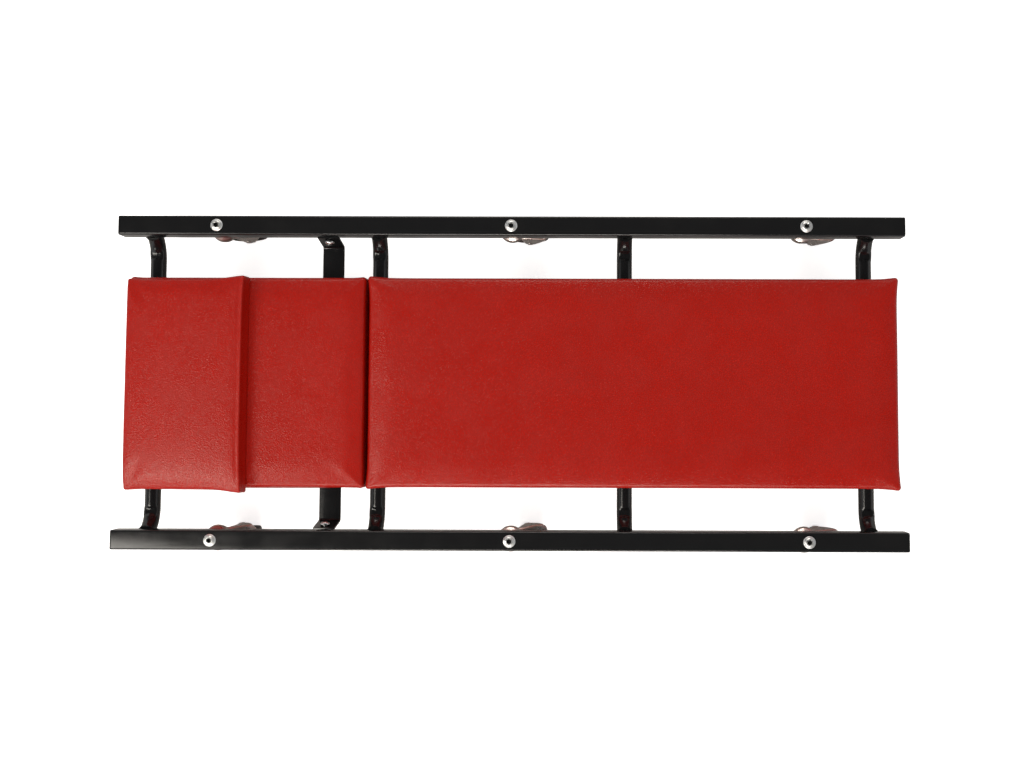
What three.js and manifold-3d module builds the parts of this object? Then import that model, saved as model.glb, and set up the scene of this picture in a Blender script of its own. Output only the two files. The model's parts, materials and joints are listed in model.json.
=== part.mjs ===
// Mechanics creeper: a low board on casters that carries a person lying on their back under a car.
// Two square rails and four round cross tubes make the frame. Six swivel casters are bolted through
// the rails. The body pad is screwed to the cross tubes, and the head section with its wedge pillow
// tilts on two pivot screws between the rails.
// Millimetres, +Z up, +X towards the feet, left is +Y. The origin is on the floor, under the centre
// of the rails.

import * as THREE from 'three';
import { mergeVertices } from 'three/addons/utils/BufferGeometryUtils.js';
import Module from 'manifold-3d';

const wasm = await Module();
wasm.setup();

// Gap kept between pieces that touch on the real object.
const GAP = 0.3;
const QUARTER = Math.PI / 2;
const DEGREE = Math.PI / 180;

// Rails: square tube on edge with the floor, closed at both ends by plastic plugs.
const RAIL_LENGTH = 1016;
const RAIL_SIZE = 25;
const RAIL_WALL = 1.5;
const RAIL_CORNER = 2;
const RAIL_TOP = 89;
const RAIL_BOTTOM = RAIL_TOP - RAIL_SIZE;
const RAIL_Y = 201.7;
const PLUG_PLATE = 2;
const PLUG_INSERT = 12;

// Cross tubes: straight under the pads, bent up at both ends to the underside of the rails.
const CROSS_TUBE_X = { head: -472, shoulder: -176, hip: 148, foot: 465 };
const CROSS_TUBE_RADIUS = 10;
const CROSS_TUBE_WALL = 1.5;
const CROSS_TUBE_Z = 42;
const BEND_START_Y = 163;
const BEND_RADIUS = 40;
const BEND_ANGLE = 63 * DEGREE;
const BEND_STEPS = 5;
const TUBE_END = 10;

// Pads: plywood board, foam and a vinyl cover that is pulled round the board and stapled under it.
const PAD_BOTTOM = CROSS_TUBE_Z + CROSS_TUBE_RADIUS + GAP;
const PAD_TOP = 87;
const PAD_WIDTH = 273;
const PAD_CORNER = 7;
const PAD_EDGE = 4;
const COVER_THICKNESS = 1.5;
const COVER_HEM = 24;
const HEM_THICKNESS = 1;
const BOARD_THICKNESS = 10;
const MAIN_PAD_X = [-184.6, 499];
const HEAD_PAD_X = [-493, -186.6];

// Pillow: a wedge, thin at the crown of the head and steep on the side of the neck.
const PILLOW_HEAD_X = -491;
const PILLOW_NECK_X = -341;
const PILLOW_BASE_X = -335.5;
const PILLOW_HEAD_TOP = 97;
const PILLOW_NECK_TOP = 111;

// Headrest bracket: flat bar under the head board, both ends turned up beside the rails. The tabs
// lean outwards, towards the rails.
const BRACKET_X = -236.5;
const BRACKET_WIDTH = 28;
const BRACKET_THICKNESS = 2.5;
const BRACKET_BEND_Y = 176.6;
const BRACKET_BEND_RADIUS = 2.5;
const BRACKET_TAB_TOP = 85;
const BRACKET_TOP = PAD_BOTTOM - GAP;
const TAB_LEAN = 12 * DEGREE;
const PIVOT_Z = RAIL_TOP - RAIL_SIZE / 2;
const PIVOT_SCREW_RADIUS = 3;
const PIVOT_HEAD_RADIUS = 6;
const PIVOT_HEAD_HEIGHT = 4;
const BOSS_RADIUS = 11.5;
const BOSS_NOSE_RADIUS = 4.5;

// Wood screws that hold the boards.
const SCREW_RADIUS = 2;
const SCREW_HEAD_RADIUS = 4;
const SCREW_HEAD_HEIGHT = 2.6;
const SCREW_BITE = 8;
const BOARD_SCREW_Y = 95;
const BRACKET_SCREW_Y = 80;

// Casters: a king bolt through the rail, a bearing cup, and a stamped fork with a 50 mm wheel.
const CASTER_X = { head: -380, middle: 0, foot: 380 };
const SWIVEL_DEGREES = {
  left: { head: 5.0, middle: 1.7, foot: 1.1 },
  right: { head: 4.7, middle: 7.4, foot: 0.4 },
};
const WHEEL_RADIUS = 25;
const WHEEL_HALF_WIDTH = 8.2;
const HUB_HALF_WIDTH = 9.6;
const TRAIL = 22;
const AXLE_RADIUS = 3;
const AXLE_HEAD_RADIUS = 5;
const AXLE_TIP = 14.9;
const BOLT_RADIUS = 4;
const BOLT_FLANGE_RADIUS = 8.15;
const BOLT_HEAD_RADIUS = 5.9;
const BOLT_SOCKET_AF = 6;
const CUP_RADIUS = 17;
const CROWN_TOP = 54.5;
const CROWN_THICKNESS = 2.2;
const CROWN_BOTTOM = CROWN_TOP - CROWN_THICKNESS;
const CROWN_FRONT_RADIUS = 16;
const FORK_SHEET = 2;
const FORK_WAIST = [18, 12.2];
const FORK_REAR = [43, 13.6];
const FORK_TAIL = [48.4, 9];
const LEG_END_RADIUS = 7.5;

function paint(color, roughness, metalness) {
  return () => new THREE.MeshStandardMaterial({ color, roughness, metalness });
}

const blackPaint = paint(0x1e1e1e, 0.35, 0.3);
const blackPlastic = paint(0x18181a, 0.5, 0);
const wheelPlastic = paint(0x231d1e, 0.4, 0);
const zinc = paint(0xcfccc6, 0.3, 1);
const redVinyl = paint(0xa62419, 0.45, 0);
const foam = paint(0xd9c9a0, 0.95, 0);
const plywood = paint(0xb8925f, 0.8, 0);

// ---- Solids ---------------------------------------------------------------------------------

// Turns a closed three.js geometry into a solid that can be cut and joined.
function solid(geometry) {
  geometry.deleteAttribute('normal');
  geometry.deleteAttribute('uv');
  const merged = mergeVertices(geometry, 1e-4);
  const index = merged.index.array;
  const corners = [];
  for (let i = 0; i < index.length; i += 3) {
    const [a, b, c] = [index[i], index[i + 1], index[i + 2]];
    if (a !== b && b !== c && c !== a) corners.push(a, b, c);
  }
  return new wasm.Manifold(new wasm.Mesh({
    numProp: 3,
    vertProperties: merged.attributes.position.array,
    triVerts: new Uint32Array(corners),
  }));
}

function geometryOf(body) {
  const mesh = body.getMesh();
  const geometry = new THREE.BufferGeometry();
  geometry.setAttribute('position', new THREE.Float32BufferAttribute(mesh.vertProperties, 3));
  geometry.setIndex(new THREE.Uint32BufferAttribute(mesh.triVerts, 1));
  geometry.computeVertexNormals();
  return geometry;
}

function box(x, y, z, width, depth, height) {
  return solid(new THREE.BoxGeometry(width, depth, height).translate(x, y, z + height / 2));
}

// Upright cylinder standing on the point.
function post(x, y, z, radius, height, sides = 16) {
  const geometry = new THREE.CylinderGeometry(radius, radius, height, sides);
  return solid(geometry.rotateX(QUARTER).translate(x, y, z + height / 2));
}

// Cylinder along Y, centred on the point.
function crossPost(x, y, z, radius, length, sides = 16) {
  const geometry = new THREE.CylinderGeometry(radius, radius, length, sides);
  return solid(geometry.translate(x, y, z));
}

// Outline turned round the Z axis; each point is [radius, height].
function turned(profile, sides) {
  const closed = [...profile, profile[0]].map(([r, z]) => new THREE.Vector2(r, z));
  return solid(new THREE.LatheGeometry(closed, sides).rotateX(QUARTER));
}

// Outline turned round the Z axis whose first and last points lie on the axis.
function turnedSolid(profile, sides) {
  const points = profile.map(([r, z]) => new THREE.Vector2(r, z));
  return solid(new THREE.LatheGeometry(points, sides).rotateX(QUARTER));
}

function roundedRectangle(width, height, radius) {
  const [x, y] = [width / 2 - radius, height / 2 - radius];
  const shape = new THREE.Shape();
  shape.absarc(x, y, radius, 0, QUARTER);
  shape.absarc(-x, y, radius, QUARTER, 2 * QUARTER);
  shape.absarc(-x, -y, radius, 2 * QUARTER, 3 * QUARTER);
  shape.absarc(x, -y, radius, 3 * QUARTER, 4 * QUARTER);
  shape.closePath();
  return shape;
}

function polygon(points) {
  return new THREE.Shape(points.map(([x, y]) => new THREE.Vector2(x, y)));
}

// Shape drawn in XY, standing between two heights.
function upright(shape, low, high, curveSegments = 2) {
  const options = { depth: high - low, bevelEnabled: false, curveSegments };
  return solid(new THREE.ExtrudeGeometry(shape, options).translate(0, 0, low));
}

// Shape drawn in XZ, running along Y from -halfWidth to halfWidth.
function across(shape, halfWidth, curveSegments = 2) {
  const options = { depth: 2 * halfWidth, bevelEnabled: false, curveSegments };
  const geometry = new THREE.ExtrudeGeometry(shape, options).translate(0, 0, -halfWidth);
  return solid(geometry.rotateX(QUARTER));
}

// Rectangular slab with rounded corners and softened top and bottom edges.
function slab([x0, x1], width, low, high, corner, edge) {
  const shape = roundedRectangle(x1 - x0 - 2 * edge, width - 2 * edge, corner);
  const geometry = new THREE.ExtrudeGeometry(shape, {
    depth: high - low - 2 * edge,
    curveSegments: 1,
    bevelThickness: edge,
    bevelSize: edge,
    bevelSegments: 2,
  });
  return solid(geometry.translate((x0 + x1) / 2, 0, low + edge));
}

// ---- Frame ----------------------------------------------------------------------------------

// Modelled along X and centred on the tube; inward is the Y direction of the other rail.
function rail(inward) {
  const section = roundedRectangle(RAIL_SIZE, RAIL_SIZE, RAIL_CORNER);
  const hollow = RAIL_SIZE - 2 * RAIL_WALL;
  section.holes.push(roundedRectangle(hollow, hollow, RAIL_CORNER - RAIL_WALL));
  const length = RAIL_LENGTH - 2 * (PLUG_PLATE + GAP);
  const options = { depth: length, bevelEnabled: false, curveSegments: 1 };
  const tube = new THREE.ExtrudeGeometry(section, options).rotateY(QUARTER);
  let body = solid(tube.translate(-length / 2, 0, 0));
  for (const x of Object.values(CASTER_X)) {
    body = body.subtract(post(x, 0, -RAIL_SIZE, BOLT_RADIUS + GAP, 2 * RAIL_SIZE, 12));
  }
  const innerWallY = inward * (RAIL_SIZE - RAIL_WALL) / 2;
  const pivotHole = PIVOT_SCREW_RADIUS + GAP;
  return body.subtract(crossPost(BRACKET_X, innerWallY, 0, pivotHole, 2 * RAIL_WALL, 12));
}

// End plug: plate over the tube end and a hollow insert, open towards the inside of the tube.
function endPlug() {
  const insertSize = RAIL_SIZE - 2 * (RAIL_WALL + GAP);
  const plate = roundedRectangle(RAIL_SIZE - 0.4, RAIL_SIZE - 0.4, RAIL_CORNER);
  const insert = roundedRectangle(insertSize, insertSize, 0.5);
  const core = roundedRectangle(insertSize - 3, insertSize - 3, 0.5);
  return upright(plate, 0, PLUG_PLATE, 1)
    .add(upright(insert, -PLUG_INSERT, 0.5, 1))
    .subtract(upright(core, -2 * PLUG_INSERT, 0, 1));
}

// Centre line of half a cross tube, as [y, z, angle of the tube to the horizontal].
function tubeStations() {
  const stations = [];
  for (let i = 0; i <= BEND_STEPS; i += 1) {
    const angle = (BEND_ANGLE * i) / BEND_STEPS;
    const y = BEND_START_Y + BEND_RADIUS * Math.sin(angle);
    const z = CROSS_TUBE_Z + BEND_RADIUS * (1 - Math.cos(angle));
    stations.push([y, z, angle]);
  }
  const [y, z] = stations[BEND_STEPS];
  const endY = y + TUBE_END * Math.cos(BEND_ANGLE);
  const endZ = z + TUBE_END * Math.sin(BEND_ANGLE);
  stations.push([endY, endZ, BEND_ANGLE]);
  return stations;
}

// Straight tube whose rings are carried to the stations of the bent centre line.
function crossTube(screwHoles) {
  const half = tubeStations();
  const mirrored = half.map(([y, z, angle]) => [-y, z, -angle]).reverse();
  const stations = [...mirrored, ...half];
  const ring = new THREE.Shape();
  ring.absarc(0, 0, CROSS_TUBE_RADIUS, 0, 4 * QUARTER);
  const bore = new THREE.Path();
  bore.absarc(0, 0, CROSS_TUBE_RADIUS - CROSS_TUBE_WALL, 0, 4 * QUARTER);
  ring.holes.push(bore);
  const steps = stations.length - 1;
  const options = { depth: 1, steps, bevelEnabled: false, curveSegments: 6 };
  const geometry = new THREE.ExtrudeGeometry(ring, options);
  const points = geometry.attributes.position;
  for (let i = 0; i < points.count; i += 1) {
    const [y, z, angle] = stations[Math.round(points.getZ(i) * steps)];
    const rise = points.getY(i);
    points.setXYZ(i, -points.getX(i), y - rise * Math.sin(angle), z + rise * Math.cos(angle));
  }
  let body = solid(geometry);
  const cut = 2 * TUBE_END;
  for (const side of [-1, 1]) {
    body = body.subtract(box(0, side * RAIL_Y, RAIL_BOTTOM - GAP, 4 * cut, 4 * cut, cut));
    if (screwHoles) {
      body = body.subtract(post(0, side * BOARD_SCREW_Y, 0, SCREW_RADIUS + GAP, RAIL_BOTTOM, 8));
    }
  }
  return body;
}

// ---- Pads -----------------------------------------------------------------------------------

const BOARD_BOTTOM = PAD_BOTTOM + HEM_THICKNESS + GAP;
const BOARD_TOP = BOARD_BOTTOM + BOARD_THICKNESS;

function inset([x0, x1], amount) {
  return [x0 + amount, x1 - amount];
}

// Clearance holes for wood screws, rising from below the pad into the board.
function screwHoles(screws) {
  return screws.map(([x, y]) => {
    const low = PAD_BOTTOM - 1;
    return post(x, y, low, SCREW_RADIUS + GAP, BOARD_BOTTOM + SCREW_BITE + GAP - low, 8);
  });
}

function drilled(body, screws) {
  return screwHoles(screws).reduce((rest, hole) => rest.subtract(hole), body);
}

function padCover(range, screws) {
  const wall = COVER_THICKNESS;
  const outside = slab(range, PAD_WIDTH, PAD_BOTTOM, PAD_TOP, PAD_CORNER, PAD_EDGE);
  const top = PAD_TOP - wall;
  const inside = slab(inset(range, wall), PAD_WIDTH - 2 * wall, PAD_BOTTOM + HEM_THICKNESS, top, 5, 1);
  const [x0, x1] = inset(range, COVER_HEM);
  const openingWidth = PAD_WIDTH - 2 * COVER_HEM;
  const opening = box((x0 + x1) / 2, 0, PAD_BOTTOM - 1, x1 - x0, openingWidth, 2 + HEM_THICKNESS);
  return drilled(outside.subtract(inside).subtract(opening), screws);
}

function padFoam(range) {
  const wall = COVER_THICKNESS + GAP;
  const width = PAD_WIDTH - 2 * wall;
  return slab(inset(range, wall), width, BOARD_TOP + GAP, PAD_TOP - wall, 5, 1);
}

function padBoard(range, screws) {
  const wall = COVER_THICKNESS + GAP;
  const shape = roundedRectangle(range[1] - range[0] - 2 * wall, PAD_WIDTH - 2 * wall, 5);
  const board = upright(shape, BOARD_BOTTOM, BOARD_TOP, 1);
  return drilled(board.translate([(range[0] + range[1]) / 2, 0, 0]), screws);
}

// Side view of the pillow, drawn in by an even amount on every side.
function pillowProfile(amount) {
  const base = PAD_TOP + GAP + amount;
  return polygon([
    [PILLOW_HEAD_X + amount, base],
    [PILLOW_BASE_X - amount, base],
    [PILLOW_NECK_X - amount, PILLOW_NECK_TOP - amount],
    [PILLOW_HEAD_X + amount, PILLOW_HEAD_TOP - amount],
  ]);
}

function pillowCover() {
  const outside = across(pillowProfile(0), PAD_WIDTH / 2);
  const inside = across(pillowProfile(COVER_THICKNESS), PAD_WIDTH / 2 - COVER_THICKNESS);
  const [x0, x1] = inset([PILLOW_HEAD_X, PILLOW_BASE_X], COVER_HEM);
  const opening = box((x0 + x1) / 2, 0, PAD_TOP - 1, x1 - x0, PAD_WIDTH - 2 * COVER_HEM, 4);
  return outside.subtract(inside).subtract(opening);
}

function pillowFoam() {
  const wall = COVER_THICKNESS + GAP;
  return across(pillowProfile(wall), PAD_WIDTH / 2 - wall);
}

// ---- Headrest pivot -------------------------------------------------------------------------

// How far out the inner face of a tab is at a height above the bend.
function tabInnerY(height) {
  const bendZ = BRACKET_TOP + BRACKET_BEND_RADIUS;
  const endY = BRACKET_BEND_Y + BRACKET_BEND_RADIUS * Math.cos(TAB_LEAN);
  const endZ = bendZ - BRACKET_BEND_RADIUS * Math.sin(TAB_LEAN);
  return endY + (height - endZ) * Math.tan(TAB_LEAN);
}

const TAB_SPAN = BRACKET_THICKNESS / Math.cos(TAB_LEAN);
const TAB_INNER_Y = tabInnerY(PIVOT_Z);
const TAB_OUTER_Y = TAB_INNER_Y + TAB_SPAN;

// Side view of the bracket in YZ: flat bar, bend and leaning tab at both ends.
function bracket() {
  const low = BRACKET_TOP - BRACKET_THICKNESS;
  const bendZ = BRACKET_TOP + BRACKET_BEND_RADIUS;
  const outerRadius = BRACKET_BEND_RADIUS + BRACKET_THICKNESS;
  const tip = tabInnerY(BRACKET_TAB_TOP);
  const shape = new THREE.Shape();
  shape.moveTo(-tip - TAB_SPAN, BRACKET_TAB_TOP);
  shape.absarc(-BRACKET_BEND_Y, bendZ, outerRadius, 2 * QUARTER + TAB_LEAN, 3 * QUARTER);
  shape.absarc(BRACKET_BEND_Y, bendZ, outerRadius, -QUARTER, -TAB_LEAN);
  shape.lineTo(tip + TAB_SPAN, BRACKET_TAB_TOP);
  shape.lineTo(tip, BRACKET_TAB_TOP);
  shape.absarc(BRACKET_BEND_Y, bendZ, BRACKET_BEND_RADIUS, -TAB_LEAN, -QUARTER, true);
  shape.absarc(-BRACKET_BEND_Y, bendZ, BRACKET_BEND_RADIUS, -QUARTER, TAB_LEAN - 2 * QUARTER, true);
  shape.lineTo(-tip, BRACKET_TAB_TOP);
  shape.closePath();
  const options = { depth: BRACKET_WIDTH, bevelEnabled: false, curveSegments: 3 };
  const strip = new THREE.ExtrudeGeometry(shape, options).rotateX(QUARTER).rotateZ(QUARTER);
  let body = solid(strip.translate(BRACKET_X - BRACKET_WIDTH / 2, 0, 0));
  const pivotHole = PIVOT_SCREW_RADIUS + GAP;
  for (const side of [-1, 1]) {
    body = body
      .subtract(crossPost(BRACKET_X, side * TAB_INNER_Y, PIVOT_Z, pivotHole, 5 * BRACKET_THICKNESS, 12))
      .subtract(post(BRACKET_X, side * BRACKET_SCREW_Y, low - 1, SCREW_RADIUS + GAP, 5, 8));
  }
  return body;
}

// Boss on the inner face of a rail, seen from its nose. It is a flat cone, so that the leaning tab
// stays clear of it at every angle of the headrest.
function pivotBoss() {
  const bore = PIVOT_SCREW_RADIUS + GAP;
  const room = RAIL_Y - RAIL_SIZE / 2 - GAP - (TAB_OUTER_Y + GAP);
  const height = room - BOSS_NOSE_RADIUS * Math.tan(TAB_LEAN);
  const tabReach = BRACKET_TAB_TOP - PIVOT_Z;
  const shoulder = room - tabReach * Math.tan(TAB_LEAN);
  const profile = [[bore, 0], [BOSS_RADIUS, 0], [tabReach, shoulder], [BOSS_NOSE_RADIUS, height]];
  return turned([...profile, [bore, height]], 14);
}

// Y of the underside of the pivot screw's head, which clears the leaning inner face of the tab.
const PIVOT_SEAT_Y = TAB_INNER_Y - PIVOT_HEAD_RADIUS * Math.tan(TAB_LEAN) - GAP;

// Domed pivot screw: the dome is on the inner side of the tab, the shank ends inside the rail.
function pivotScrew() {
  const reach = RAIL_Y - RAIL_SIZE / 2 + RAIL_WALL - PIVOT_SEAT_Y + 3;
  return turnedSolid([
    [0, -reach],
    [PIVOT_SCREW_RADIUS, -reach],
    [PIVOT_SCREW_RADIUS, 0],
    [PIVOT_HEAD_RADIUS, 0],
    [0.87 * PIVOT_HEAD_RADIUS, 0.5 * PIVOT_HEAD_HEIGHT],
    [0.5 * PIVOT_HEAD_RADIUS, 0.9 * PIVOT_HEAD_HEIGHT],
    [0, PIVOT_HEAD_HEIGHT],
  ], 12);
}

// Wood screw, head down, with the seat of the head at height zero.
function woodScrew(length) {
  return turnedSolid([
    [0, -SCREW_HEAD_HEIGHT],
    [SCREW_HEAD_RADIUS - 1, -SCREW_HEAD_HEIGHT],
    [SCREW_HEAD_RADIUS, -SCREW_HEAD_HEIGHT + 1],
    [SCREW_HEAD_RADIUS, 0],
    [SCREW_RADIUS, 0],
    [SCREW_RADIUS, length - 3],
    [0, length],
  ], 10);
}

// ---- Casters --------------------------------------------------------------------------------

// King bolt: flanged socket head on the rail, shank down to a peened washer under the fork crown.
function kingBolt() {
  const seat = RAIL_TOP + GAP;
  const peenTop = CROWN_BOTTOM - GAP;
  const socketRadius = BOLT_SOCKET_AF / Math.sqrt(3);
  return turnedSolid([
    [0, peenTop - 3],
    [4.5, peenTop - 3],
    [6.5, peenTop - 1.4],
    [6.5, peenTop],
    [BOLT_RADIUS, peenTop],
    [BOLT_RADIUS, seat],
    [BOLT_FLANGE_RADIUS, seat],
    [BOLT_FLANGE_RADIUS - 0.6, seat + 1.4],
    [BOLT_HEAD_RADIUS, seat + 1.8],
    [BOLT_HEAD_RADIUS - 0.4, seat + 3.6],
    [0, seat + 3.6],
  ], 14).subtract(post(0, 0, seat + 0.6, socketRadius, 4, 6));
}

// Bearing cup: a stamped dome held against the rail, open below over the ball track of the fork.
function bearingCup() {
  const bore = BOLT_RADIUS + GAP;
  const top = RAIL_BOTTOM - GAP;
  const lip = CROWN_TOP + 0.5;
  return turned([
    [bore, top],
    [bore, top - 2.6],
    [11, top - 2.9],
    [14.2, top - 5.4],
    [15.2, lip],
    [CUP_RADIUS - 0.2, lip],
    [CUP_RADIUS, lip + 1.4],
    [15.8, top - 3],
    [11.8, top],
  ], 16);
}

// Half outline of the fork seen from above, from the round front past the waist to the tail.
function forkSide(shape, side) {
  const [waistX, waistY] = FORK_WAIST;
  const [rearX, rearY] = FORK_REAR;
  shape.quadraticCurveTo(waistX - 4, side * (waistY + 0.2), waistX, side * waistY);
  shape.quadraticCurveTo(waistX + 10, side * waistY, rearX, side * rearY);
}

function crownShape() {
  const turn = 50 * DEGREE;
  const shape = new THREE.Shape();
  shape.absarc(0, 0, CROWN_FRONT_RADIUS, -turn, turn, true);
  forkSide(shape, 1);
  shape.lineTo(FORK_TAIL[0], FORK_TAIL[1]);
  shape.lineTo(FORK_TAIL[0], -FORK_TAIL[1]);
  shape.lineTo(FORK_REAR[0], -FORK_REAR[1]);
  const [waistX, waistY] = FORK_WAIST;
  shape.quadraticCurveTo(waistX + 10, -waistY, waistX, -waistY);
  const [frontX, frontY] = [Math.cos(turn), Math.sin(turn)].map((v) => v * CROWN_FRONT_RADIUS);
  shape.quadraticCurveTo(waistX - 4, -waistY - 0.2, frontX, -frontY);
  return shape;
}

// Wall of one leg seen from above: the crown's side line and the same line a sheet further in.
function legBand(side) {
  const [waistX, waistY] = FORK_WAIST;
  const [rearX, rearY] = FORK_REAR;
  const [outer, inner] = [waistY, waistY - FORK_SHEET];
  const shape = new THREE.Shape();
  shape.moveTo(waistX - 6, side * (outer + 0.4));
  shape.lineTo(waistX, side * outer);
  shape.quadraticCurveTo(waistX + 10, side * outer, rearX, side * rearY);
  shape.lineTo(rearX, side * (rearY - FORK_SHEET));
  shape.quadraticCurveTo(waistX + 10, side * inner, waistX, side * inner);
  shape.lineTo(waistX - 6, side * (inner + 0.4));
  return shape;
}

// Side view of a leg: down from the crown to a round end about the axle.
function legProfile() {
  const top = CROWN_BOTTOM + 1;
  const shape = new THREE.Shape();
  shape.moveTo(FORK_WAIST[0] - 6, top);
  shape.absarc(TRAIL, WHEEL_RADIUS, LEG_END_RADIUS, 2 * QUARTER, 3.6 * QUARTER);
  shape.lineTo(FORK_REAR[0], CROWN_BOTTOM - 4);
  shape.lineTo(FORK_REAR[0], top);
  return shape;
}

function fork() {
  const boltHole = BOLT_RADIUS + GAP;
  const trackTop = CROWN_TOP + 3;
  const track = [[boltHole, CROWN_BOTTOM], [12, CROWN_BOTTOM], [11.6, trackTop], [boltHole, trackTop]];
  let body = upright(crownShape(), CROWN_BOTTOM, CROWN_TOP, 3).add(turned(track, 12));
  for (const side of [-1, 1]) {
    const wall = upright(legBand(side), 0, CROWN_BOTTOM + 1, 2);
    body = body.add(wall.intersect(across(legProfile(), 2 * WHEEL_RADIUS, 3)));
  }
  return body
    .subtract(post(0, 0, 0, boltHole, RAIL_BOTTOM, 12))
    .subtract(crossPost(TRAIL, 0, WHEEL_RADIUS, AXLE_RADIUS + GAP, 2 * WHEEL_RADIUS, 12));
}

// Wheel, modelled with its axis along Z and turned onto Y.
function wheel() {
  const bore = AXLE_RADIUS + GAP;
  const side = (sign) => [
    [bore, sign * HUB_HALF_WIDTH],
    [8, sign * HUB_HALF_WIDTH],
    [8.6, sign * 6],
    [19.5, sign * 6],
    [21, sign * WHEEL_HALF_WIDTH],
    [WHEEL_RADIUS - 0.9, sign * (WHEEL_HALF_WIDTH - 0.4)],
    [WHEEL_RADIUS, sign * (WHEEL_HALF_WIDTH - 2)],
  ];
  return turned([...side(-1), ...side(1).reverse()], 18);
}

// Axle rivet with a head outside each leg.
function axle() {
  const seat = FORK_WAIST[1] + 0.2 + GAP;
  const side = (sign) => [
    [AXLE_HEAD_RADIUS - 1.6, sign * AXLE_TIP],
    [AXLE_HEAD_RADIUS, sign * (AXLE_TIP - 1.2)],
    [AXLE_HEAD_RADIUS, sign * seat],
    [AXLE_RADIUS, sign * seat],
  ];
  return turnedSolid([[0, -AXLE_TIP], ...side(-1), ...side(1).reverse(), [0, AXLE_TIP]], 12);
}

// ---- Assembly -------------------------------------------------------------------------------

const creeper = new THREE.Group();

function place(parent, name, geometry, material, [x, y, z] = [0, 0, 0]) {
  const mesh = new THREE.Mesh(geometry, material());
  mesh.name = name;
  mesh.position.set(x, y, z);
  parent.add(mesh);
  return mesh;
}

const SIDES = { left: 1, right: -1 };

function addRails() {
  const plug = geometryOf(endPlug());
  for (const [side, sign] of Object.entries(SIDES)) {
    const group = new THREE.Group();
    group.position.set(0, sign * RAIL_Y, RAIL_TOP - RAIL_SIZE / 2);
    creeper.add(group);
    place(group, `rail_${side}`, geometryOf(rail(-sign)), blackPaint);
    for (const [end, direction] of Object.entries({ head: -1, foot: 1 })) {
      const seat = direction * (RAIL_LENGTH / 2 - PLUG_PLATE);
      const mesh = place(group, `end_plug_${side}_${end}`, plug, blackPlastic, [seat, 0, 0]);
      mesh.rotation.y = direction * QUARTER;
    }
  }
}

function addCrossTubes() {
  const screwed = geometryOf(crossTube(true));
  const plain = geometryOf(crossTube(false));
  for (const [name, x] of Object.entries(CROSS_TUBE_X)) {
    const shape = ['shoulder', 'foot'].includes(name) ? screwed : plain;
    place(creeper, `cross_tube_${name}`, shape, blackPaint, [x, 0, 0]);
  }
}

function addMainPad() {
  const tubeBottom = CROSS_TUBE_Z - CROSS_TUBE_RADIUS;
  const screw = geometryOf(woodScrew(BOARD_BOTTOM + SCREW_BITE - tubeBottom + GAP));
  const seats = [];
  for (const [row, x] of Object.entries({ shoulder: CROSS_TUBE_X.shoulder, foot: CROSS_TUBE_X.foot })) {
    for (const [side, sign] of Object.entries(SIDES)) {
      seats.push([x, sign * BOARD_SCREW_Y]);
      const seat = [x, sign * BOARD_SCREW_Y, tubeBottom - GAP];
      place(creeper, `board_screw_${row}_${side}`, screw, zinc, seat);
    }
  }
  place(creeper, 'main_board', geometryOf(padBoard(MAIN_PAD_X, seats)), plywood);
  place(creeper, 'main_foam', geometryOf(padFoam(MAIN_PAD_X)), foam);
  place(creeper, 'main_cover', geometryOf(padCover(MAIN_PAD_X, seats)), redVinyl);
}

function addHeadSection() {
  const barBottom = BRACKET_TOP - BRACKET_THICKNESS;
  const screw = geometryOf(woodScrew(BOARD_BOTTOM + SCREW_BITE - barBottom + GAP));
  const boss = geometryOf(pivotBoss());
  const pivot = geometryOf(pivotScrew());
  const seats = [];
  for (const [side, sign] of Object.entries(SIDES)) {
    seats.push([BRACKET_X, sign * BRACKET_SCREW_Y]);
    const seat = [BRACKET_X, sign * BRACKET_SCREW_Y, barBottom - GAP];
    place(creeper, `bracket_screw_${side}`, screw, zinc, seat);
    const bossY = sign * (RAIL_Y - RAIL_SIZE / 2 - GAP);
    const bossMesh = place(creeper, `pivot_boss_${side}`, boss, blackPaint, [BRACKET_X, bossY, PIVOT_Z]);
    bossMesh.rotation.x = sign * QUARTER;
    const headSeat = [BRACKET_X, sign * PIVOT_SEAT_Y, PIVOT_Z];
    const pivotMesh = place(creeper, `pivot_screw_${side}`, pivot, zinc, headSeat);
    pivotMesh.rotation.x = sign * QUARTER;
  }
  place(creeper, 'headrest_bracket', geometryOf(bracket()), blackPaint);
  place(creeper, 'head_board', geometryOf(padBoard(HEAD_PAD_X, seats)), plywood);
  place(creeper, 'head_foam', geometryOf(padFoam(HEAD_PAD_X)), foam);
  place(creeper, 'head_cover', geometryOf(padCover(HEAD_PAD_X, seats)), redVinyl);
  place(creeper, 'pillow_foam', geometryOf(pillowFoam()), foam);
  place(creeper, 'pillow_cover', geometryOf(pillowCover()), redVinyl);
}

function addCasters() {
  const shapes = {
    bolt: geometryOf(kingBolt()),
    cup: geometryOf(bearingCup()),
    fork: geometryOf(fork()),
    wheel: geometryOf(wheel()),
    axle: geometryOf(axle()),
  };
  for (const [side, sign] of Object.entries(SIDES)) {
    for (const [row, x] of Object.entries(CASTER_X)) {
      const name = `caster_${side}_${row}`;
      const caster = new THREE.Group();
      caster.position.set(x, sign * RAIL_Y, 0);
      creeper.add(caster);
      place(caster, `${name}_bolt`, shapes.bolt, zinc);
      place(caster, `${name}_cup`, shapes.cup, zinc);
      const swivel = new THREE.Group();
      swivel.rotation.z = SWIVEL_DEGREES[side][row] * DEGREE;
      caster.add(swivel);
      place(swivel, `${name}_fork`, shapes.fork, zinc);
      const centre = [TRAIL, 0, WHEEL_RADIUS];
      place(swivel, `${name}_wheel`, shapes.wheel, wheelPlastic, centre).rotation.x = QUARTER;
      place(swivel, `${name}_axle`, shapes.axle, zinc, centre).rotation.x = QUARTER;
    }
  }
}

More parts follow.
